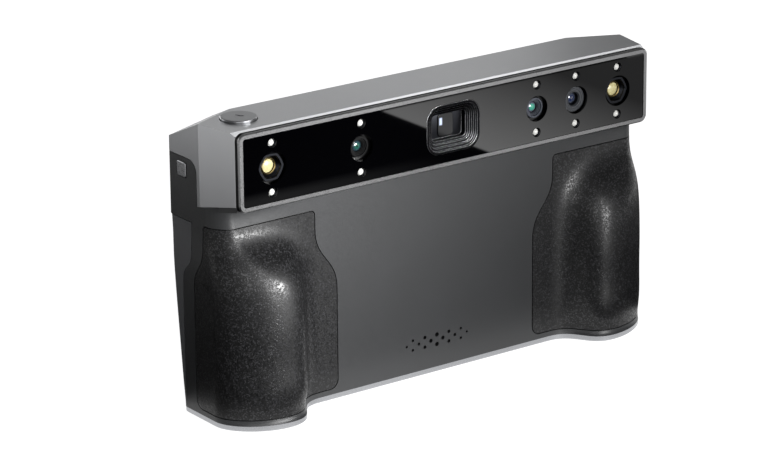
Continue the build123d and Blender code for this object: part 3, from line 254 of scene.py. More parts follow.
@dataclass(frozen=True)
class Finish:
    """A material with fine grain, soft colour drift and uneven gloss."""

    name: str
    colour: str
    roughness: float
    metallic: float = 0.0
    ior: float = 1.5
    drift: str = ""
    drift_mm: float = 18.0
    drift_share: float = 0.5
    grain_mm: float = 0.5
    relief_mm: float = 0.008
    gloss_swing: float = 0.06
    least_roughness: float = 0.02
    coat: float = 0.0
    coat_roughness: float = 0.03
    specular: float = 0.5

    def material(self) -> bpy.types.Material:
        """Give the material, made at its first use."""
        return bpy.data.materials.get(self.name) or self.make()

    def make(self) -> bpy.types.Material:
        """Build the material's nodes.

        Returns:
            The new material.
        """
        made = blank(self.name)
        made.diffuse_color = linear(self.colour)
        tree = made.node_tree
        shader = add(tree, "BsdfPrincipled", {
            "Base Color": linear(self.colour), "Roughness": self.roughness, "Metallic": self.metallic})
        if not self.metallic:
            shader.inputs["IOR"].default_value = self.ior
            shader.inputs["Specular IOR Level"].default_value = self.specular
        if self.coat:
            shader.inputs["Coat Weight"].default_value = self.coat
            shader.inputs["Coat Roughness"].default_value = self.coat_roughness
        self.pattern(tree, shader, add(tree, "TexCoord").outputs["Object"])
        add(tree, "OutputMaterial", {"Surface": shader.outputs[0]})
        return made

    def mottled(self, tree: bpy.types.NodeTree, place: bpy.types.NodeSocket) -> bpy.types.NodeSocket:
        """Drift the colour slowly over the surface.

        Args:
            tree: node tree of the material.
            place: coordinates that the pattern reads.

        Returns:
            The drifting colour.
        """
        cloud = add(tree, "TexNoise", {"Vector": place, "Scale": 1 / (self.drift_mm * MM), "Detail": 3.0})
        share = add(tree, "MapRange", {
            "Value": cloud.outputs[0], "From Min": DRIFT_LOW, "From Max": DRIFT_HIGH,
            "To Max": self.drift_share})
        blend = add(tree, "Mix", {
            0: share.outputs[0], 6: linear(self.colour), 7: linear(self.drift or self.colour)},
            data_type="RGBA")
        return blend.outputs[2]

    def grain(self, tree: bpy.types.NodeTree, place: bpy.types.NodeSocket) -> bpy.types.NodeSocket:
        """Give the fine surface grain, from 0 to 1.

        Args:
            tree: node tree of the material.
            place: coordinates that the pattern reads.

        Returns:
            Height of the grain.
        """
        speckle = add(tree, "TexNoise", {
            "Vector": place, "Scale": 1 / (self.grain_mm * MM), "Detail": 2.0, "Roughness": 0.6})
        return speckle.outputs[0]

    def pattern(self, tree: bpy.types.NodeTree, shader: bpy.types.Node,
                place: bpy.types.NodeSocket) -> None:
        """Link colour drift, uneven gloss and grain to the shader.

        Args:
            tree: node tree of the material.
            shader: the shader that takes them.
            place: coordinates that the patterns read.
        """
        tree.links.new(self.mottled(tree, place), shader.inputs["Base Color"])
        height = self.grain(tree, place)
        gloss = add(tree, "MapRange", {
            "Value": height, "From Min": GRAIN_LOW, "From Max": GRAIN_HIGH,
            "To Min": max(self.roughness - self.gloss_swing, self.least_roughness),
            "To Max": self.roughness + self.gloss_swing})
        tree.links.new(gloss.outputs[0], shader.inputs["Roughness"])
        if self.relief_mm:
            bump = add(tree, "Bump", {"Height": height, "Distance": self.relief_mm * MM})
            tree.links.new(bump.outputs[0], shader.inputs["Normal"])


@dataclass(frozen=True)
class TurnedMetal(Finish):
    """Metal with the fine rings that a lathe leaves, round one centre."""

    centre_mm: Point = (0.0, 0.0, 0.0)
    axis: Axis = Axis.Z
    ring_mm: float = 0.35

    def grain(self, tree: bpy.types.NodeTree, place: bpy.types.NodeSocket) -> bpy.types.NodeSocket:
        """Give the lathe rings, from 0 to 1.

        Args:
            tree: node tree of the material.
            place: coordinates that the pattern reads.

        Returns:
            Height of the rings.
        """
        shift = [-c * MM for c in self.centre_mm]
        moved = add(tree, "Mapping", {"Vector": place, "Location": shift})
        rings = add(tree, "TexWave", {
            "Vector": moved.outputs[0], "Scale": FULL_TURN / (WAVE_RADIANS * self.ring_mm * MM),
            "Distortion": 0.4, "Detail": 1.0}, wave_type="RINGS", rings_direction=self.axis.name)
        return rings.outputs["Fac"]


@dataclass(frozen=True)
class Stipple(Finish):
    """Moulded rubber with a sandy surface: closely set pips of uneven height, with painted glints as paler
    colour on the higher pips.
    """

    # Colour, share and starting height of the painted glints on the pips.
    painted_glint: str = "#3a3a3c"
    painted_glint_share: float = 1.0
    painted_glint_from: float = 0.6

    def mottled(self, tree: bpy.types.NodeTree, place: bpy.types.NodeSocket) -> bpy.types.NodeSocket:
        """Paint glints: colour the higher pips paler than the rubber between them.

        Args:
            tree: node tree of the material.
            place: coordinates that the pattern reads.

        Returns:
            The colour, speckled with painted glints.
        """
        base = super().mottled(tree, place)
        share = add(tree, "MapRange", {
            "Value": self.grain(tree, place), "From Min": self.painted_glint_from, "From Max": 1.0,
            "To Max": self.painted_glint_share})
        blend = add(tree, "Mix", {0: share.outputs[0], 6: base, 7: linear(self.painted_glint)}, data_type="RGBA")
        return blend.outputs[2]

    def grain(self, tree: bpy.types.NodeTree, place: bpy.types.NodeSocket) -> bpy.types.NodeSocket:
        """Give the pips, from 0 to 1.

        Args:
            tree: node tree of the material.
            place: coordinates that the pattern reads.

        Returns:
            Height of the pips.
        """
        cells = add(tree, "TexVoronoi", {"Vector": place, "Scale": 1 / (self.grain_mm * MM)})
        level = add(tree, "SeparateColor", {0: cells.outputs["Color"]})
        return level.outputs[0]


@dataclass(frozen=True)
class CoatedLens(Finish):
    """Lens whose coating changes colour from its middle to its rim."""

    centre_mm: Point = (0.0, 0.0, 0.0)
    radius_mm: float = 2.2
    stops: tuple[tuple[float, str], ...] = ((0.0, "#000000"), (1.0, "#ffffff"))

    def mottled(self, tree: bpy.types.NodeTree, place: bpy.types.NodeSocket) -> bpy.types.NodeSocket:
        """Colour the coating by its distance from the lens's axis.

        Args:
            tree: node tree of the material.
            place: coordinates that the pattern reads.

        Returns:
            The coating's colour.
        """
        moved = add(tree, "Mapping", {"Vector": place, "Location": [-c * MM for c in self.centre_mm]})
        flat = add(tree, "VectorMath", {0: moved.outputs[0], 1: (1.0, 0.0, 1.0)}, operation="MULTIPLY")
        length = add(tree, "VectorMath", {0: flat.outputs[0]}, operation="LENGTH")
        share = add(tree, "Math", {0: length.outputs["Value"], 1: self.radius_mm * MM}, operation="DIVIDE")
        ramp = add(tree, "ValToRGB", {"Fac": share.outputs[0]})
        band = ramp.color_ramp.elements
        band[0].position, band[-1].position = self.stops[0][0], self.stops[-1][0]
        band[0].color, band[-1].color = linear(self.stops[0][1]), linear(self.stops[-1][1])
        for position, colour in self.stops[1:-1]:
            band.new(position).color = linear(colour)
        return ramp.outputs["Color"]


@dataclass(frozen=True)
class PaintedHighlightWindow(Finish):
    """Dark glass with a painted highlight: a pale soft-edged patch of colour on one part of it."""

    # Colour, corners and soft edge of the painted highlight's rectangle.
    chip: str = "#ffffff"
    highlight_low_mm: tuple[float, float] = (0.0, 0.0)
    highlight_high_mm: tuple[float, float] = (1.0, 1.0)
    highlight_blur_mm: float = 0.5

    def mottled(self, tree: bpy.types.NodeTree, place: bpy.types.NodeSocket) -> bpy.types.NodeSocket:
        """Paint the highlight as a pale soft-edged rectangle on the dark glass.

        Args:
            tree: node tree of the material.
            place: coordinates that the pattern reads.

        Returns:
            The glass's dark colour, with the painted highlight.
        """
        split = add(tree, "SeparateXYZ", {0: place})
        share = None
        for axis, low, high in zip("XZ", self.highlight_low_mm, self.highlight_high_mm):
            for edge, far in ((low, low + self.highlight_blur_mm), (high, high - self.highlight_blur_mm)):
                step = add(tree, "MapRange", {
                    "Value": split.outputs[axis], "From Min": edge * MM, "From Max": far * MM})
                share = step if share is None else add(
                    tree, "Math", {0: share.outputs[0], 1: step.outputs[0]}, operation="MULTIPLY")
        blend = add(tree, "Mix", {
            0: share.outputs[0], 6: linear(self.colour), 7: linear(self.chip)}, data_type="RGBA")
        return blend.outputs[2]


# Blasted and anodised: an even pale satin grey with a soft, wide highlight.
BLASTED_ALUMINIUM = Finish(
    "blasted_anodised_aluminium", "#b7b8ba", 0.34, metallic=1.0, drift="#afb0b3", drift_mm=30, grain_mm=0.3,
    relief_mm=0.006, gloss_swing=0.04)
# Satin anodised: brighter than the head, with a crisp white edge where it is chamfered.
SATIN_ALUMINIUM = Finish(
    "satin_anodised_aluminium", "#a9aaad", 0.27, metallic=1.0, drift="#9fa0a3", drift_mm=25, grain_mm=0.3,
    relief_mm=0.004, gloss_swing=0.04)
# Drawn and polished strip: the thin rim that catches the light round the optics.
TRIM_ALUMINIUM = Finish(
    "drawn_aluminium_trim", "#979798", 0.3, metallic=1.0, drift="#858586", drift_mm=12, grain_mm=0.4,
    relief_mm=0.003, gloss_swing=0.05)
# Faced on a lathe: fine rings that turn the highlight into a fan.
SCAN_ALUMINIUM = TurnedMetal(
    "turned_anodised_aluminium", "#98999b", 0.40, metallic=1.0, drift="#9c9da0", relief_mm=0.004,
    centre_mm=(-85.0, -0.4, 118.0), axis=Axis.Z)
# Blasted and anodised like the head: a small square that reads a shade brighter.
POWER_ALUMINIUM = Finish(
    "blasted_button_aluminium", "#b2b3b5", 0.3, metallic=1.0, drift="#a5a6a9", grain_mm=0.3, relief_mm=0.004)
# Bare and milled: duller, with cutter streaks.
MILLED_ALUMINIUM = Finish(
    "milled_bare_aluminium", "#77787a", 0.42, metallic=1.0, drift="#7c7d80", drift_mm=6, grain_mm=0.6,
    relief_mm=0.01)
# Spark-textured moulding: an even fine matte grain over charcoal plastic.
FRONT_PLASTIC = Finish(
    "spark_textured_pc_abs", "#2b2c2e", 0.42, ior=1.57, drift="#272829", drift_mm=22, grain_mm=0.45,
    relief_mm=0.02, gloss_swing=0.07)
# The same moulding in mid grey: the lighter side shows where the rear cover starts.
REAR_PLASTIC = Finish(
    "spark_textured_grey_pc_abs", "#58595c", 0.46, ior=1.57, drift="#4e4f52", drift_mm=26, grain_mm=0.45,
    relief_mm=0.02, gloss_swing=0.07)
# The same moulding in black: the screen's frame sinks away round the glass.
SCREEN_PLASTIC = Finish(
    "spark_textured_black_pc_abs", "#1d1e20", 0.45, ior=1.57, drift="#17181a", drift_mm=24, grain_mm=0.45,
    relief_mm=0.02, gloss_swing=0.07)
# Matte black polycarbonate: keeps stray light away from the optics.
BEZEL_PLASTIC = Finish(
    "matte_black_polycarbonate", "#070708", 0.6, ior=1.58, drift="#050506", drift_mm=10, grain_mm=0.35,
    relief_mm=0.012, specular=0.12)
# Stippled thermoplastic rubber: near black, with glossier pips that break the highlight up, drawn a little
# coarse to show. The swing is negative because the tips shine more than the hollows.
# The pale pip tips that it keeps by default are painted glints.
GRIP_RUBBER = Stipple(
    "stippled_thermoplastic_rubber", "#050506", 0.41, ior=1.52, drift="#040405", drift_mm=16, grain_mm=0.46,
    relief_mm=0.014, gloss_swing=-0.13, specular=0.40)
# Back-printed cover glass: a deep even black with a clear surface.
BLACK_GLASS = Finish(
    "black_printed_cover_glass", "#020203", 0.015, ior=1.52, drift="#030304", drift_mm=60, grain_mm=30,
    relief_mm=0.0, gloss_swing=0.005)
# Milky silicone dome over the light chip: a soft white dot.
LIGHT_SILICONE = Finish(
    "milky_silicone_dome", "#eeeeea", 0.3, ior=1.43, drift="#dededa", drift_mm=0.8, grain_mm=0.2,
    relief_mm=0.004)
# Glass-fibre board under green solder mask: glossy green with lighter copper areas.
BOARD = Finish(
    "solder_masked_glass_epoxy_board", "#123f25", 0.35, ior=1.55, drift="#1a5a35", drift_mm=3,
    drift_share=0.9, grain_mm=0.8, relief_mm=0.02)
# Black solder mask, so that nothing shows behind the glass.
BLACK_BOARD = Finish(
    "black_solder_masked_board", "#0b0b0c", 0.45, ior=1.55, drift="#111112", drift_mm=3, grain_mm=0.8,
    relief_mm=0.02)
# Moulded epoxy: dull black blocks with faint flow marks.
MOULDED_EPOXY = Finish(
    "moulded_epoxy", "#1a1a1b", 0.55, ior=1.55, drift="#232324", drift_mm=4, grain_mm=0.3, relief_mm=0.01)
# Black anodised barrels: nearly black, with a faint metallic edge.
BARREL_ALUMINIUM = Finish(
    "black_anodised_aluminium", "#26272a", 0.35, metallic=1.0, drift="#1c1d20", drift_mm=2, grain_mm=0.3,
    relief_mm=0.004)
# Grey lacquered retaining ring: lighter than the barrel behind it.
RING_LACQUER = Finish(
    "grey_lacquered_ring", "#3e4044", 0.4, drift="#35373b", drift_mm=2, grain_mm=0.3, relief_mm=0.003)
# Smoke anodised: dark rings that still catch a thin highlight.
SMOKE_ALUMINIUM = Finish(
    "smoke_anodised_aluminium", "#2e2f33", 0.36, metallic=1.0, drift="#27282b", drift_mm=2, grain_mm=0.3,
    relief_mm=0.003)
# Slate lacquer: a bluish grey ring round the green lens.
SLATE_LACQUER = Finish(
    "slate_lacquered_ring", "#41454e", 0.4, drift="#3a3c48", drift_mm=2, grain_mm=0.3, relief_mm=0.003)
# Black anodised hood, whose steps are cut bright along their edges.
HOOD_ALUMINIUM = Finish(
    "black_anodised_hood_aluminium", "#141416", 0.35, metallic=1.0, drift="#0f0f11", drift_mm=5,
    grain_mm=0.35, relief_mm=0.006, gloss_swing=0.04)
# Diamond cut: thin bright lines along the hood's steps.
CUT_ALUMINIUM = Finish(
    "diamond_cut_aluminium", "#a8a9ac", 0.28, metallic=1.0, drift="#98999c", drift_mm=3, grain_mm=0.4,
    relief_mm=0.0, gloss_swing=0.03)
# Hard gold plate: muted yellow contacts and rims.
GOLD_PLATE = Finish(
    "hard_gold_plate", "#a8966a", 0.32, metallic=1.0, drift="#97855a", drift_mm=1.5, grain_mm=0.25,
    relief_mm=0.002)
# Switched-off panel: an even blue-black behind the touch glass.
DISPLAY_GLASS = Finish(
    "liquid_crystal_panel", "#050607", 0.12, ior=1.52, drift="#08090b", drift_mm=30, grain_mm=0.4,
    relief_mm=0.0)
# Drawn foil pouch: silver and softly creased.
POUCH_LAMINATE = Finish(
    "aluminium_pouch_laminate", "#b9babc", 0.38, metallic=1.0, drift="#a8a9ab", drift_mm=9, grain_mm=3.0,
    relief_mm=0.15)
# Fine woven cloth: a black weave behind the speaker holes.
DUST_CLOTH = Finish(
    "woven_polyester_dust_cloth", "#0d0d0d", 0.8, ior=1.5, drift="#1a1a1a", drift_mm=0.6, grain_mm=0.4,
    relief_mm=0.08)
# Turned stainless steel: neutral grey with small sharp highlights.
STEEL = Finish(
    "turned_stainless_steel", "#a2a2a4", 0.3, metallic=1.0, drift="#8e8e91", drift_mm=2, grain_mm=0.3,
    relief_mm=0.004)
# Turned brass: warm yellow with small sharp highlights.
BRASS = Finish(
    "turned_brass", "#c8a452", 0.3, metallic=1.0, drift="#b48f42", drift_mm=3, grain_mm=0.3, relief_mm=0.004)
# Ceramic phosphor under a clear coat: a pale yellow disc, mottled with ochre.
PHOSPHOR = Finish(
    "ceramic_phosphor", "#ddd6a6", 0.32, ior=1.5, drift="#b3a25e", drift_mm=0.9, drift_share=0.5,
    grain_mm=0.3, relief_mm=0.01, coat=0.4)
# Coated glass lenses: dark, with a teal, green or blue cast towards the middle.
TEAL_LENS = CoatedLens(
    "teal_coated_lens", "#1d3a33", 0.05, ior=1.6, centre_mm=(-41.9, 0.0, 102.0), relief_mm=0.0,
    gloss_swing=0.01, coat=1.0,
    stops=((0.0, "#0d1a18"), (0.35, "#1f5a4c"), (0.7, "#2b3f48"), (1.0, "#101316")))
GREEN_LENS = CoatedLens(
    "green_coated_lens", "#2c5a4a", 0.05, ior=1.6, centre_mm=(41.9, 0.0, 102.0), relief_mm=0.0,
    gloss_swing=0.01, coat=1.0,
    stops=((0.0, "#3d9c84"), (0.45, "#4aa890"), (0.75, "#5a5a6c"), (1.0, "#26262c")))
BLUE_LENS = CoatedLens(
    "blue_coated_lens", "#1a2440", 0.05, ior=1.6, centre_mm=(61.5, 0.0, 102.0), radius_mm=2.3, relief_mm=0.0,
    gloss_swing=0.01, coat=1.0,
    stops=((0.0, "#0d1226"), (0.4, "#1e2c52"), (0.75, "#3c4250"), (1.0, "#17181b")))
# Dark projector window with a painted highlight, a pale bluish patch, at its upper left.
PROJECTOR_GLASS = PaintedHighlightWindow(
    "coated_projector_glass", "#050608", 0.05, ior=1.52, relief_mm=0.0, gloss_swing=0.01, specular=0.25,
    chip="#c9d6f2", highlight_low_mm=(-1.9, 101.9), highlight_high_mm=(-0.2, 105.2))


class SubAssembly:
    """A group of pieces that is built and dressed together."""

    cad_finishes: ClassVar[dict[str, Finish]] = {}

    def dress(self) -> None:
        """Give every CAD node of the group its material."""
        for node, finish in self.cad_finishes.items():
            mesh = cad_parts[node].data
            mesh.materials.clear()
            mesh.materials.append(finish.material())
            LOG.info("%s: %s", node, finish.name)

    def build(self) -> None:
        """Make the pieces that the CAD model leaves plain."""

    def piece(self, name: str, shape: bmesh.types.BMesh, finish: Finish, body: Body, slot: str,
              stands_for: tuple[str, ...] = ()) -> bpy.types.Object:
        """Turn a finished bmesh into a piece of the object.

        Args:
            name: name of the piece.
            shape: its mesh, in metres and in place; freed here.
            finish: its material.
            body: body that it rides on.
            slot: record slot that its finish would belong to; not used.
            stands_for: CAD nodes that it replaces.

        Returns:
            The new object.
        """
        soften(shape)
        mesh = bpy.data.meshes.new(name)
        shape.to_mesh(mesh)
        shape.free()
        mesh.materials.append(finish.material())
        made = bpy.data.objects.new(name, mesh)
        bpy.context.scene.collection.objects.link(made)
        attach(made, body.value)
        if stands_for:
            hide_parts(*stands_for)
        LOG.info("%s: %s", name, finish.name)
        return made


@dataclass
class Head(SubAssembly):
    """Metal head with its buttons and charging socket."""

    cad_finishes: ClassVar[dict[str, Finish]] = {
        "head_housing": BLASTED_ALUMINIUM, "scan_button": SCAN_ALUMINIUM, "power_button": POWER_ALUMINIUM,
        "scan_switch": MOULDED_EPOXY, "power_switch": MOULDED_EPOXY, "charge_socket": STEEL,
        "charge_board": BOARD}
    tongue_mm: Point = (97.2, 14.25, 87.0)
    tongue_half_mm: float = 0.35
    contact_mm: Point = (3.6, 0.26, 0.06)
    contact_step_mm: float = 0.5
    contact_count: int = 12
    contact_ease_mm: float = 0.015

    def build(self) -> None:
        """Lay the contacts on both faces of the charging tongue."""
        shape = bmesh.new()
        middle = (self.contact_count - 1) / 2
        for at in range(self.contact_count):
            shift = (at - middle) * self.contact_step_mm
            for side in (-1, 1):
                place = Vector(self.tongue_mm) + Vector((0.0, shift, side * self.tongue_half_mm))
                size = Matrix.Diagonal((*(Vector(self.contact_mm) * MM), 1.0))
                bmesh.ops.create_cube(shape, size=1.0, matrix=Matrix.Translation(place * MM) @ size)
        ease(shape, self.contact_ease_mm)
        self.piece("charge_contacts", shape, GOLD_PLATE, Body.MAIN, "bush_brass")


@dataclass
class Optics(SubAssembly):
    """Glass-fronted module with cameras, emitters, lights and projector."""

    cad_finishes: ClassVar[dict[str, Finish]] = {
        "bezel_trim": TRIM_ALUMINIUM, "front_bezel": BEZEL_PLASTIC, "front_glass": BLACK_GLASS,
        "light_board": BLACK_BOARD, "fill_leds": LIGHT_SILICONE, "projector_hood": BEZEL_PLASTIC,
        "projector_lens": PROJECTOR_GLASS, "projector_body": MILLED_ALUMINIUM,
        "optics_bracket": MILLED_ALUMINIUM,
        "outer_left_unit": BARREL_ALUMINIUM, "outer_right_unit": BARREL_ALUMINIUM,
        "near_left_camera": BEZEL_PLASTIC, "near_right_camera": BARREL_ALUMINIUM,
        "colour_camera": BARREL_ALUMINIUM, "outer_left_lens": PHOSPHOR, "outer_right_lens": PHOSPHOR,
        "near_left_lens": TEAL_LENS, "near_right_lens": GREEN_LENS, "colour_lens": BLUE_LENS}
    eye_z_mm: float = 102.0
    outer_x_mm: float = 82.4
    near_x_mm: float = 41.9
    colour_x_mm: float = 61.5
    light_rise_mm: float = 9.6
    outer_ring_mm: Profile = (
        (4.5, -16.65), (4.5, -17.2), (4.75, -17.45), (5.6, -17.45), (5.95, -17.15), (5.95, -16.65))
    outer_flats: float = 0.6
    outer_flats_reach_mm: tuple[float, float] = (4.0, 7.0)
    outer_rim_mm: Profile = ((2.72, -15.4), (2.72, -15.75), (2.92, -15.9), (3.15, -15.75), (3.15, -15.4))
    near_ring_mm: Profile = (
        (3.9, -16.6), (3.95, -16.9), (3.4, -16.9), (3.3, -16.35), (2.95, -16.35), (2.9, -15.95),
        (2.6, -15.95), (2.55, -15.5), (2.3, -15.5), (2.3, -15.25), (3.2, -15.6))
    colour_ring_mm: Profile = (
        (2.6, -16.2), (3.0, -17.0), (3.3, -17.0), (3.4, -16.8), (3.8, -16.8), (3.9, -17.0), (4.2, -17.0),
        (4.3, -16.8), (4.65, -16.8), (4.75, -16.95), (4.95, -16.95), (4.95, -16.6), (3.0, -16.5))
    collar_mm: Profile = ((1.5, -16.95), (1.5, -17.3), (1.62, -17.75), (1.86, -17.95), (1.86, -16.95))
    hood_mm: Point = (25.2, 19.6, 6.0)
    hood_place_mm: Point = (1.2, -18.45, 102.0)
    hood_deep_mm: float = 6.4
    hood_step_mm: float = 1.15
    hood_sinks_mm: tuple[float, ...] = (1.0, 1.0, 1.0, 2.5)
    hood_ease_mm: float = 0.12
    plate_mm: Point = (15.4, 9.9, 1.2)
    plate_deep_mm: float = 0.2
    plate_lift_mm: float = 0.15
    plate_ease_mm: float = 0.05

    def build(self) -> None:
        """Make the rings, collars and the projector's funnel."""
        for side, x in (("left", -self.outer_x_mm), ("right", self.outer_x_mm)):
            place = (x, 0.0, self.eye_z_mm)
            ring = turned(self.outer_ring_mm, place, Axis.Y, steps=72)
            hexagonal(ring, place, Axis.Y, self.outer_flats, self.outer_flats_reach_mm)
            self.piece(f"outer_{side}_ring", ring, SMOKE_ALUMINIUM, Body.MAIN, "camera_metal")
            rim = turned(self.outer_rim_mm, place, Axis.Y)
            self.piece(f"outer_{side}_rim", rim, GOLD_PLATE, Body.MAIN, "bush_brass")
        near = (("left", -self.near_x_mm, BEZEL_PLASTIC), ("right", self.near_x_mm, SLATE_LACQUER))
        for side, x, finish in near:
            ring = turned(self.near_ring_mm, (x, 0.0, self.eye_z_mm), Axis.Y)
            self.piece(f"near_{side}_ring", ring, finish, Body.MAIN, "camera_metal")
        ring = turned(self.colour_ring_mm, (self.colour_x_mm, 0.0, self.eye_z_mm), Axis.Y)
        self.piece("colour_ring", ring, RING_LACQUER, Body.MAIN, "camera_metal")
        self.collars()
        self.funnel()

    def collars(self) -> None:
        """Line the light holes of the glass."""
        shape = bmesh.new()
        for x in (-self.outer_x_mm, -self.near_x_mm, self.near_x_mm, self.colour_x_mm, self.outer_x_mm):
            for rise in (-self.light_rise_mm, self.light_rise_mm):
                turned(self.collar_mm, (x, 0.0, self.eye_z_mm + rise), Axis.Y, shape, 32)
        self.piece("light_collars", shape, SMOKE_ALUMINIUM, Body.MAIN, "camera_metal")

    def funnel(self) -> None:
        """Step the projector's hood down to its window, with bright eased edges."""
        shape, face = slab(*self.hood_mm, self.hood_deep_mm, self.hood_place_mm)
        for sink in self.hood_sinks_mm:
            bmesh.ops.inset_region(shape, faces=[face], thickness=self.hood_step_mm * MM,
                                   use_even_offset=True)
            face = bmesh.ops.extrude_discrete_faces(shape, faces=[face])["faces"][0]
            bmesh.ops.translate(shape, vec=(0.0, sink * MM, 0.0), verts=face.verts)
        ease(shape, self.hood_ease_mm, material=1)
        made = self.piece("projector_funnel", shape, HOOD_ALUMINIUM, Body.MAIN, "camera_metal",
                          ("projector_hood",))
        made.data.materials.append(CUT_ALUMINIUM.material())
        x, front, z = self.hood_place_mm
        floor_y = front + sum(self.hood_sinks_mm) - self.plate_lift_mm
        plate, _ = slab(*self.plate_mm, self.plate_deep_mm, (x, floor_y, z))
        ease(plate, self.plate_ease_mm)
        self.piece("projector_plate", plate, SMOKE_ALUMINIUM, Body.MAIN, "frame_metal")


@dataclass
class Shells(SubAssembly):
    """Moulded body with its rubber grips, bottom plate and fixings."""

    cad_finishes: ClassVar[dict[str, Finish]] = {
        "front_shell": FRONT_PLASTIC, "rear_shell": REAR_PLASTIC, "bottom_plate": SATIN_ALUMINIUM,
        "grip_pad_left": GRIP_RUBBER, "grip_pad_right": GRIP_RUBBER, "bottom_screws": STEEL,
        "rear_screws": STEEL, "tripod_bush": BRASS, "speaker_mesh": DUST_CLOTH, "speaker": MOULDED_EPOXY}
    bottom_screws_x_mm: tuple[float, ...] = (-84.0, -36.0, 36.0, 84.0)
    rear_screws_mm: Profile = ((-70.0, 26.0), (-70.0, 66.0), (70.0, 26.0), (70.0, 66.0))
    screw_mm: Profile = (
        (0.0, 0.8), (1.0, 0.7), (1.0, 0.08), (1.08, 0.0), (2.15, 0.0), (2.38, 0.22), (2.38, 1.0), (1.25, 1.0),
        (1.25, 6.4), (0.0, 6.4))
    socket_reach_mm: tuple[float, float] = (0.9, 1.2)
    screw_steps: int = 36
    thread_mm: Point = (3.2, 2.75, 1.27)
    thread_turns: int = 5
    thread_steps: int = 40
    thread_flank: float = 0.45
    thread_flat: float = 0.06

    def build(self) -> None:
        """Make the screws and the tripod thread."""
        self.screws()
        self.thread()

    def screws(self) -> None:
        """Turn the screws and press a hexagon socket into each head."""
        below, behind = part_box("bottom_screws"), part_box("rear_screws")
        low, middle = below[0].z / MM, (below[0].y + below[1].y) / 2 / MM
        shape = bmesh.new()
        for x in self.bottom_screws_x_mm:
            place = (x, middle, low)
            turned(self.screw_mm, place, Axis.Z, shape, self.screw_steps)
            hexagonal(shape, place, Axis.Z, 1.0, self.socket_reach_mm)
        self.piece("bottom_socket_screws", shape, STEEL, Body.MAIN, "steel", ("bottom_screws",))
        shape = bmesh.new()
        inwards = tuple((radius, -along) for radius, along in self.screw_mm)
        for x, z in self.rear_screws_mm:
            place = (x, behind[1].y / MM, z)
            turned(inwards, place, Axis.Y, shape, self.screw_steps)
            hexagonal(shape, place, Axis.Y, 1.0, self.socket_reach_mm)
        self.piece("rear_socket_screws", shape, STEEL, Body.MAIN, "steel", ("rear_screws",))

    def thread(self) -> None:
        """Cut the tripod thread as one winding ridge."""
        low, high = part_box("tripod_bush")
        middle = (low + high) / 2
        root, crest, pitch = (size * MM for size in self.thread_mm)
        shape = bmesh.new()
        start = Vector((middle.x, middle.y, low.z + pitch))
        flank, flat = self.thread_flank * pitch, self.thread_flat * pitch
        dots = [shape.verts.new(start + Vector((radius, 0.0, rise))) for radius, rise in
                ((root, -flank), (crest, -flat), (crest, flat), (root, flank))]
        rim = [shape.edges.new((dots[at - 1], dots[at])) for at in range(len(dots))]
        steps = self.thread_steps * self.thread_turns
        climb = Vector((0.0, 0.0, pitch * self.thread_turns / steps))
        bmesh.ops.spin(shape, geom=dots + rim, cent=start, axis=(0.0, 0.0, 1.0), dvec=climb,
                       angle=FULL_TURN * self.thread_turns, steps=steps, use_merge=False)
        bmesh.ops.holes_fill(shape, edges=[edge for edge in shape.edges if edge.is_boundary])
        bmesh.ops.recalc_face_normals(shape, faces=shape.faces)
        self.piece("tripod_thread_ridge", shape, BRASS, Body.MAIN, "bush_brass")


@dataclass
class Screen(SubAssembly):
    """Flip-up touch screen with its friction hinge."""

    cad_finishes: ClassVar[dict[str, Finish]] = {
        "screen_housing": SCREEN_PLASTIC, "touch_glass": BLACK_GLASS, "display_panel": DISPLAY_GLASS,
        "display_board": BOARD, "hinge_pin_left": STEEL, "hinge_pin_right": STEEL, "hinge_bush_left": BRASS,
        "hinge_bush_right": BRASS, "hinge_washers": STEEL}


@dataclass
class Inside(SubAssembly):
    """Frame, boards and battery inside the body."""

    cad_finishes: ClassVar[dict[str, Finish]] = {
        "mid_frame": MILLED_ALUMINIUM, "main_board": BOARD, "processor": MOULDED_EPOXY,
        "heat_spreader": MILLED_ALUMINIUM, "battery_pack": POUCH_LAMINATE}


@dataclass(frozen=True)
class Lamp:
    """A lamp that lights the object from outside the picture."""

    name: str
    place_m: Point
    aim_m: Point
    power_w: float

    def light(self) -> bpy.types.Light:
        """Make the light that the lamp carries."""
        raise NotImplementedError

    def hang(self) -> None:
        """Put the lamp in the studio, out of the camera's sight."""
        lamp = bpy.data.objects.new(self.name, self.light())
        lamp.visible_camera = False
        lamp.location = self.place_m
        aim = Vector(self.aim_m) - Vector(self.place_m)
        lamp.rotation_euler = aim.to_track_quat("-Z", "Y").to_euler()
        bpy.context.scene.collection.objects.link(lamp)


@dataclass(frozen=True)
class Softbox(Lamp):
    """A soft rectangular lamp."""

    width_m: float
    height_m: float

    def light(self) -> bpy.types.Light:
        """Make the lit rectangle.

        Returns:
            The light.
        """
        made = bpy.data.lights.new(self.name, "AREA")
        made.shape, made.energy = "RECTANGLE", self.power_w
        made.size, made.size_y = self.width_m, self.height_m
        return made


@dataclass(frozen=True)
class Snoot(Lamp):
    """A soft-edged spot, which fades away from the point that it faces."""

    cone_deg: float
    radius_m: float

    def light(self) -> bpy.types.Light:
        """Make the lit cone.

        Returns:
            The light.
        """
        made = bpy.data.lights.new(self.name, "SPOT")
        made.spot_size, made.spot_blend = math.radians(self.cone_deg), 1.0
        made.shadow_soft_size, made.energy = self.radius_m, self.power_w
        return made


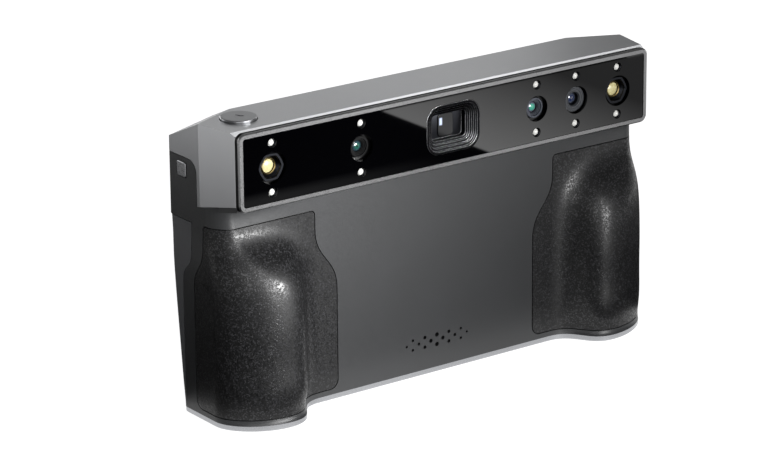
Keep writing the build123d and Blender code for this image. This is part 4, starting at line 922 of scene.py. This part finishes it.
BODY_MIDDLE = (0.0, 0.0, 0.06)
LAMPS: tuple[Lamp, ...] = (
    Softbox("front_softbox", (0.08, -0.90, 0.13), BODY_MIDDLE, 5.0, 0.36, 0.24),
    Softbox("right_softbox", (0.98, 0.45, 0.22), BODY_MIDDLE, 1.4, 0.36, 0.36),
    Softbox("left_softbox", (-0.55, -0.72, 0.22), BODY_MIDDLE, 1.0, 0.36, 0.30),
    Softbox("fill_panel", (-0.07, -0.80, 0.45), BODY_MIDDLE, 1.2, 0.30, 0.26),
    Softbox("top_panel", (0.41, 0.22, 0.69), (-0.03, 0.0, 0.117), 0.72, 0.30, 0.26),
    Softbox("back_panel", (0.29, 0.50, 0.30), (-0.02, 0.0, 0.117), 0.125, 0.28, 0.24),
    Softbox("back_softbox", (-0.75, 1.05, 0.45), BODY_MIDDLE, 2.2, 0.60, 0.50),
    Softbox("rear_softbox", (0.05, 1.25, 0.22), BODY_MIDDLE, 3.6, 0.50, 0.36),
    Snoot("key_snoot", (0.33, -0.90, 0.20), (-0.068, -0.01, 0.070), 54.0, 11.0, 0.06))


@dataclass
class Studio:
    """Pale floor, soft lamps, white surroundings and the camera."""

    camera_mm: Point = (-799.94, -1072.96, 505.52)
    yaw_deg: float = -36.0
    pitch_deg: float = 18.598
    roll_deg: float = -0.4896
    lens_mm: float = 171.87
    sensor_mm: float = 36.0
    clip_start_m: float = 0.01
    white: str = "#ffffff"
    floor_m: float = 8.0
    floor_colour: str = "#a8a8a8"
    floor_glow: float = 0.95
    room_light: float = 0.03
    room_mirror: float = 0.15
    card_lift_m: float = 0.0005
    near_hole_m: tuple[float, float] = (0.224, 0.061)
    near_round_m: float = 0.02
    near_growth: tuple[float, float] = (3.2, 15.0)
    far_size_m: tuple[float, float] = (0.36, 0.13)
    far_place_m: tuple[float, float] = (0.19, -0.26)
    far_glow: float = 2.4
    panel_edge_m: tuple[float, float] = (0.190, 0.192)
    panel_fade_m: tuple[float, float] = (0.195, 0.30)
    panel_end: float = 0.15
    patch_edge_m: tuple[float, float] = (-0.256, -0.246)
    patch_fade_m: tuple[float, float] = (0.08, 0.17)
    patch_start: float = 0.11

    def build(self) -> None:
        """Make the floor, the world, the lamps, the cards and the camera."""
        bpy.context.scene.view_settings.view_transform = "Standard"
        self.floor()
        self.world()
        for lamp in LAMPS:
            lamp.hang()
        self.cards()
        self.camera()

    def lay(self, name: str, shape: bmesh.types.BMesh, surface: bpy.types.Material) -> bpy.types.Object:
        """Turn a flat mesh into an object of the stage.

        Args:
            name: name of the object.
            shape: its mesh; freed here.
            surface: its material.

        Returns:
            The new object.
        """
        mesh = bpy.data.meshes.new(name)
        shape.to_mesh(mesh)
        shape.free()
        mesh.materials.append(surface)
        made = bpy.data.objects.new(name, mesh)
        bpy.context.scene.collection.objects.link(made)
        return made

    def floor(self) -> None:
        """Lay the pale floor, which reads as white to the camera and keeps the shadow."""
        shape = bmesh.new()
        bmesh.ops.create_grid(shape, x_segments=1, y_segments=1, size=self.floor_m / 2)
        made = blank("matte_white_paper")
        tree = made.node_tree
        paper = add(tree, "BsdfDiffuse", {"Color": linear(self.floor_colour)})
        lit = add(tree, "Emission", {"Color": linear(self.white), "Strength": self.floor_glow})
        both = add(tree, "AddShader", {0: paper.outputs[0], 1: lit.outputs[0]})
        ray = add(tree, "LightPath")
        sight = add(tree, "Math", {
            0: ray.outputs["Is Camera Ray"], 1: mirrored(tree, ray)}, operation="MAXIMUM")
        seen = add(tree, "MixShader", {0: sight.outputs[0], 1: paper.outputs[0], 2: both.outputs[0]})
        add(tree, "OutputMaterial", {"Surface": seen.outputs[0]})
        self.lay("studio_floor", shape, made)

    def cards(self) -> None:
        """Lay the black cards that only reflections see, so that the dark parts read as dark."""
        near = bmesh.new()
        bmesh.ops.create_grid(near, x_segments=1, y_segments=1, size=0.5)
        bmesh.ops.scale(near, vec=(*self.near_hole_m, 1.0), verts=near.verts)
        bmesh.ops.bevel(near, geom=near.verts[:], offset=self.near_round_m, affect="VERTICES", segments=6,
                        profile=0.5, material=-1)
        hole = near.faces[:]
        edge = bmesh.ops.extrude_edge_only(near, edges=near.edges[:])["geom"]
        outer = [item for item in edge if isinstance(item, bmesh.types.BMVert)]
        bmesh.ops.scale(near, vec=(*self.near_growth, 1.0), verts=outer)
        bmesh.ops.delete(near, geom=hole, context="FACES_ONLY")
        self.card("near_card", near, 0.0, self.card_lift_m)
        far = bmesh.new()
        bmesh.ops.create_grid(far, x_segments=1, y_segments=1, size=0.5)
        bmesh.ops.scale(far, vec=(*self.far_size_m, 1.0), verts=far.verts)
        bmesh.ops.translate(far, vec=(*self.far_place_m, 0.0), verts=far.verts)
        self.card("far_card", far, self.far_glow, 2 * self.card_lift_m)

    def card(self, name: str, shape: bmesh.types.BMesh, glow: float, lift_m: float) -> None:
        """Lay one card just above the floor.

        Args:
            name: name of the card.
            shape: its flat mesh; freed here.
            glow: level of the lit panel on the card's right part and its faint left patch, or zero.
            lift_m: height above the floor.
        """
        bmesh.ops.translate(shape, vec=(0.0, 0.0, lift_m), verts=shape.verts)
        made = blank(name + "_paper")
        tree = made.node_tree
        place = add(tree, "SeparateXYZ", {0: add(tree, "TexCoord").outputs["Object"]})
        across, along = place.outputs["X"], place.outputs["Y"]
        edge = add(tree, "MapRange", {
            "Value": across, "From Min": self.panel_edge_m[0], "From Max": self.panel_edge_m[1]})
        fade = add(tree, "MapRange", {
            "Value": across, "From Min": self.panel_fade_m[0], "From Max": self.panel_fade_m[1],
            "To Min": glow, "To Max": self.panel_end * glow})
        panel = add(tree, "Math", {0: edge.outputs[0], 1: fade.outputs[0]}, operation="MULTIPLY")
        low = add(tree, "MapRange", {
            "Value": along, "From Min": self.patch_edge_m[0], "From Max": self.patch_edge_m[1]})
        left = add(tree, "MapRange", {
            "Value": across, "From Min": self.patch_fade_m[0], "From Max": self.patch_fade_m[1],
            "To Min": self.patch_start * glow, "To Max": 0.0})
        patch = add(tree, "Math", {0: low.outputs[0], 1: left.outputs[0]}, operation="MULTIPLY")
        level = add(tree, "Math", {0: panel.outputs[0], 1: patch.outputs[0]}, operation="ADD")
        lit = add(tree, "Emission", {"Color": linear(self.white), "Strength": level.outputs[0]})
        add(tree, "OutputMaterial", {"Surface": lit.outputs[0]})
        card = self.lay(name, shape, made)
        card.visible_camera = card.visible_diffuse = card.visible_shadow = card.visible_transmission = False

    def world(self) -> None:
        """Surround the object with a little even light, which metal and glass see as a pale room."""
        world = bpy.data.worlds.new("soft_white_room")
        bpy.context.scene.world = world
        world.use_nodes = True
        tree = world.node_tree
        tree.nodes.clear()
        ray = add(tree, "LightPath")
        pale = add(tree, "MapRange", {
            "Value": mirrored(tree, ray), "To Min": self.room_light, "To Max": self.room_mirror})
        level = add(tree, "Math", {
            0: ray.outputs["Is Camera Ray"], 1: pale.outputs[0]}, operation="MAXIMUM")
        room = add(tree, "Background", {"Color": linear(self.white), "Strength": level.outputs[0]})
        add(tree, "OutputWorld", {"Surface": room.outputs[0]})

    def camera(self) -> None:
        """Set the camera at the photograph's place and angle."""
        yaw, pitch, roll = (math.radians(a) for a in (self.yaw_deg, self.pitch_deg, self.roll_deg))
        right = Vector((math.cos(yaw), math.sin(yaw), 0.0))
        back = Vector((math.sin(yaw) * math.cos(pitch), -math.cos(yaw) * math.cos(pitch), math.sin(pitch)))
        up = back.cross(right)
        turned_right = right * math.cos(roll) + up * math.sin(roll)
        turned_up = up * math.cos(roll) - right * math.sin(roll)
        data = bpy.data.cameras.new("photo_camera")
        data.lens, data.sensor_width, data.clip_start = self.lens_mm, self.sensor_mm, self.clip_start_m
        camera = bpy.data.objects.new("photo_camera", data)
        turn = Matrix((turned_right, turned_up, back)).transposed().to_4x4()
        camera.matrix_world = Matrix.Translation(Vector(self.camera_mm) * MM) @ turn
        bpy.context.scene.collection.objects.link(camera)
        bpy.context.scene.camera = camera


def main() -> None:
    """Build the scanner's sub-assemblies in order, then the studio round them."""
    logging.basicConfig(level=logging.INFO, format="%(name)s %(message)s")
    for group in (Head(), Optics(), Shells(), Screen(), Inside()):
        group.dress()
        group.build()
    Studio().build()


if __name__ == "__main__":
    main()
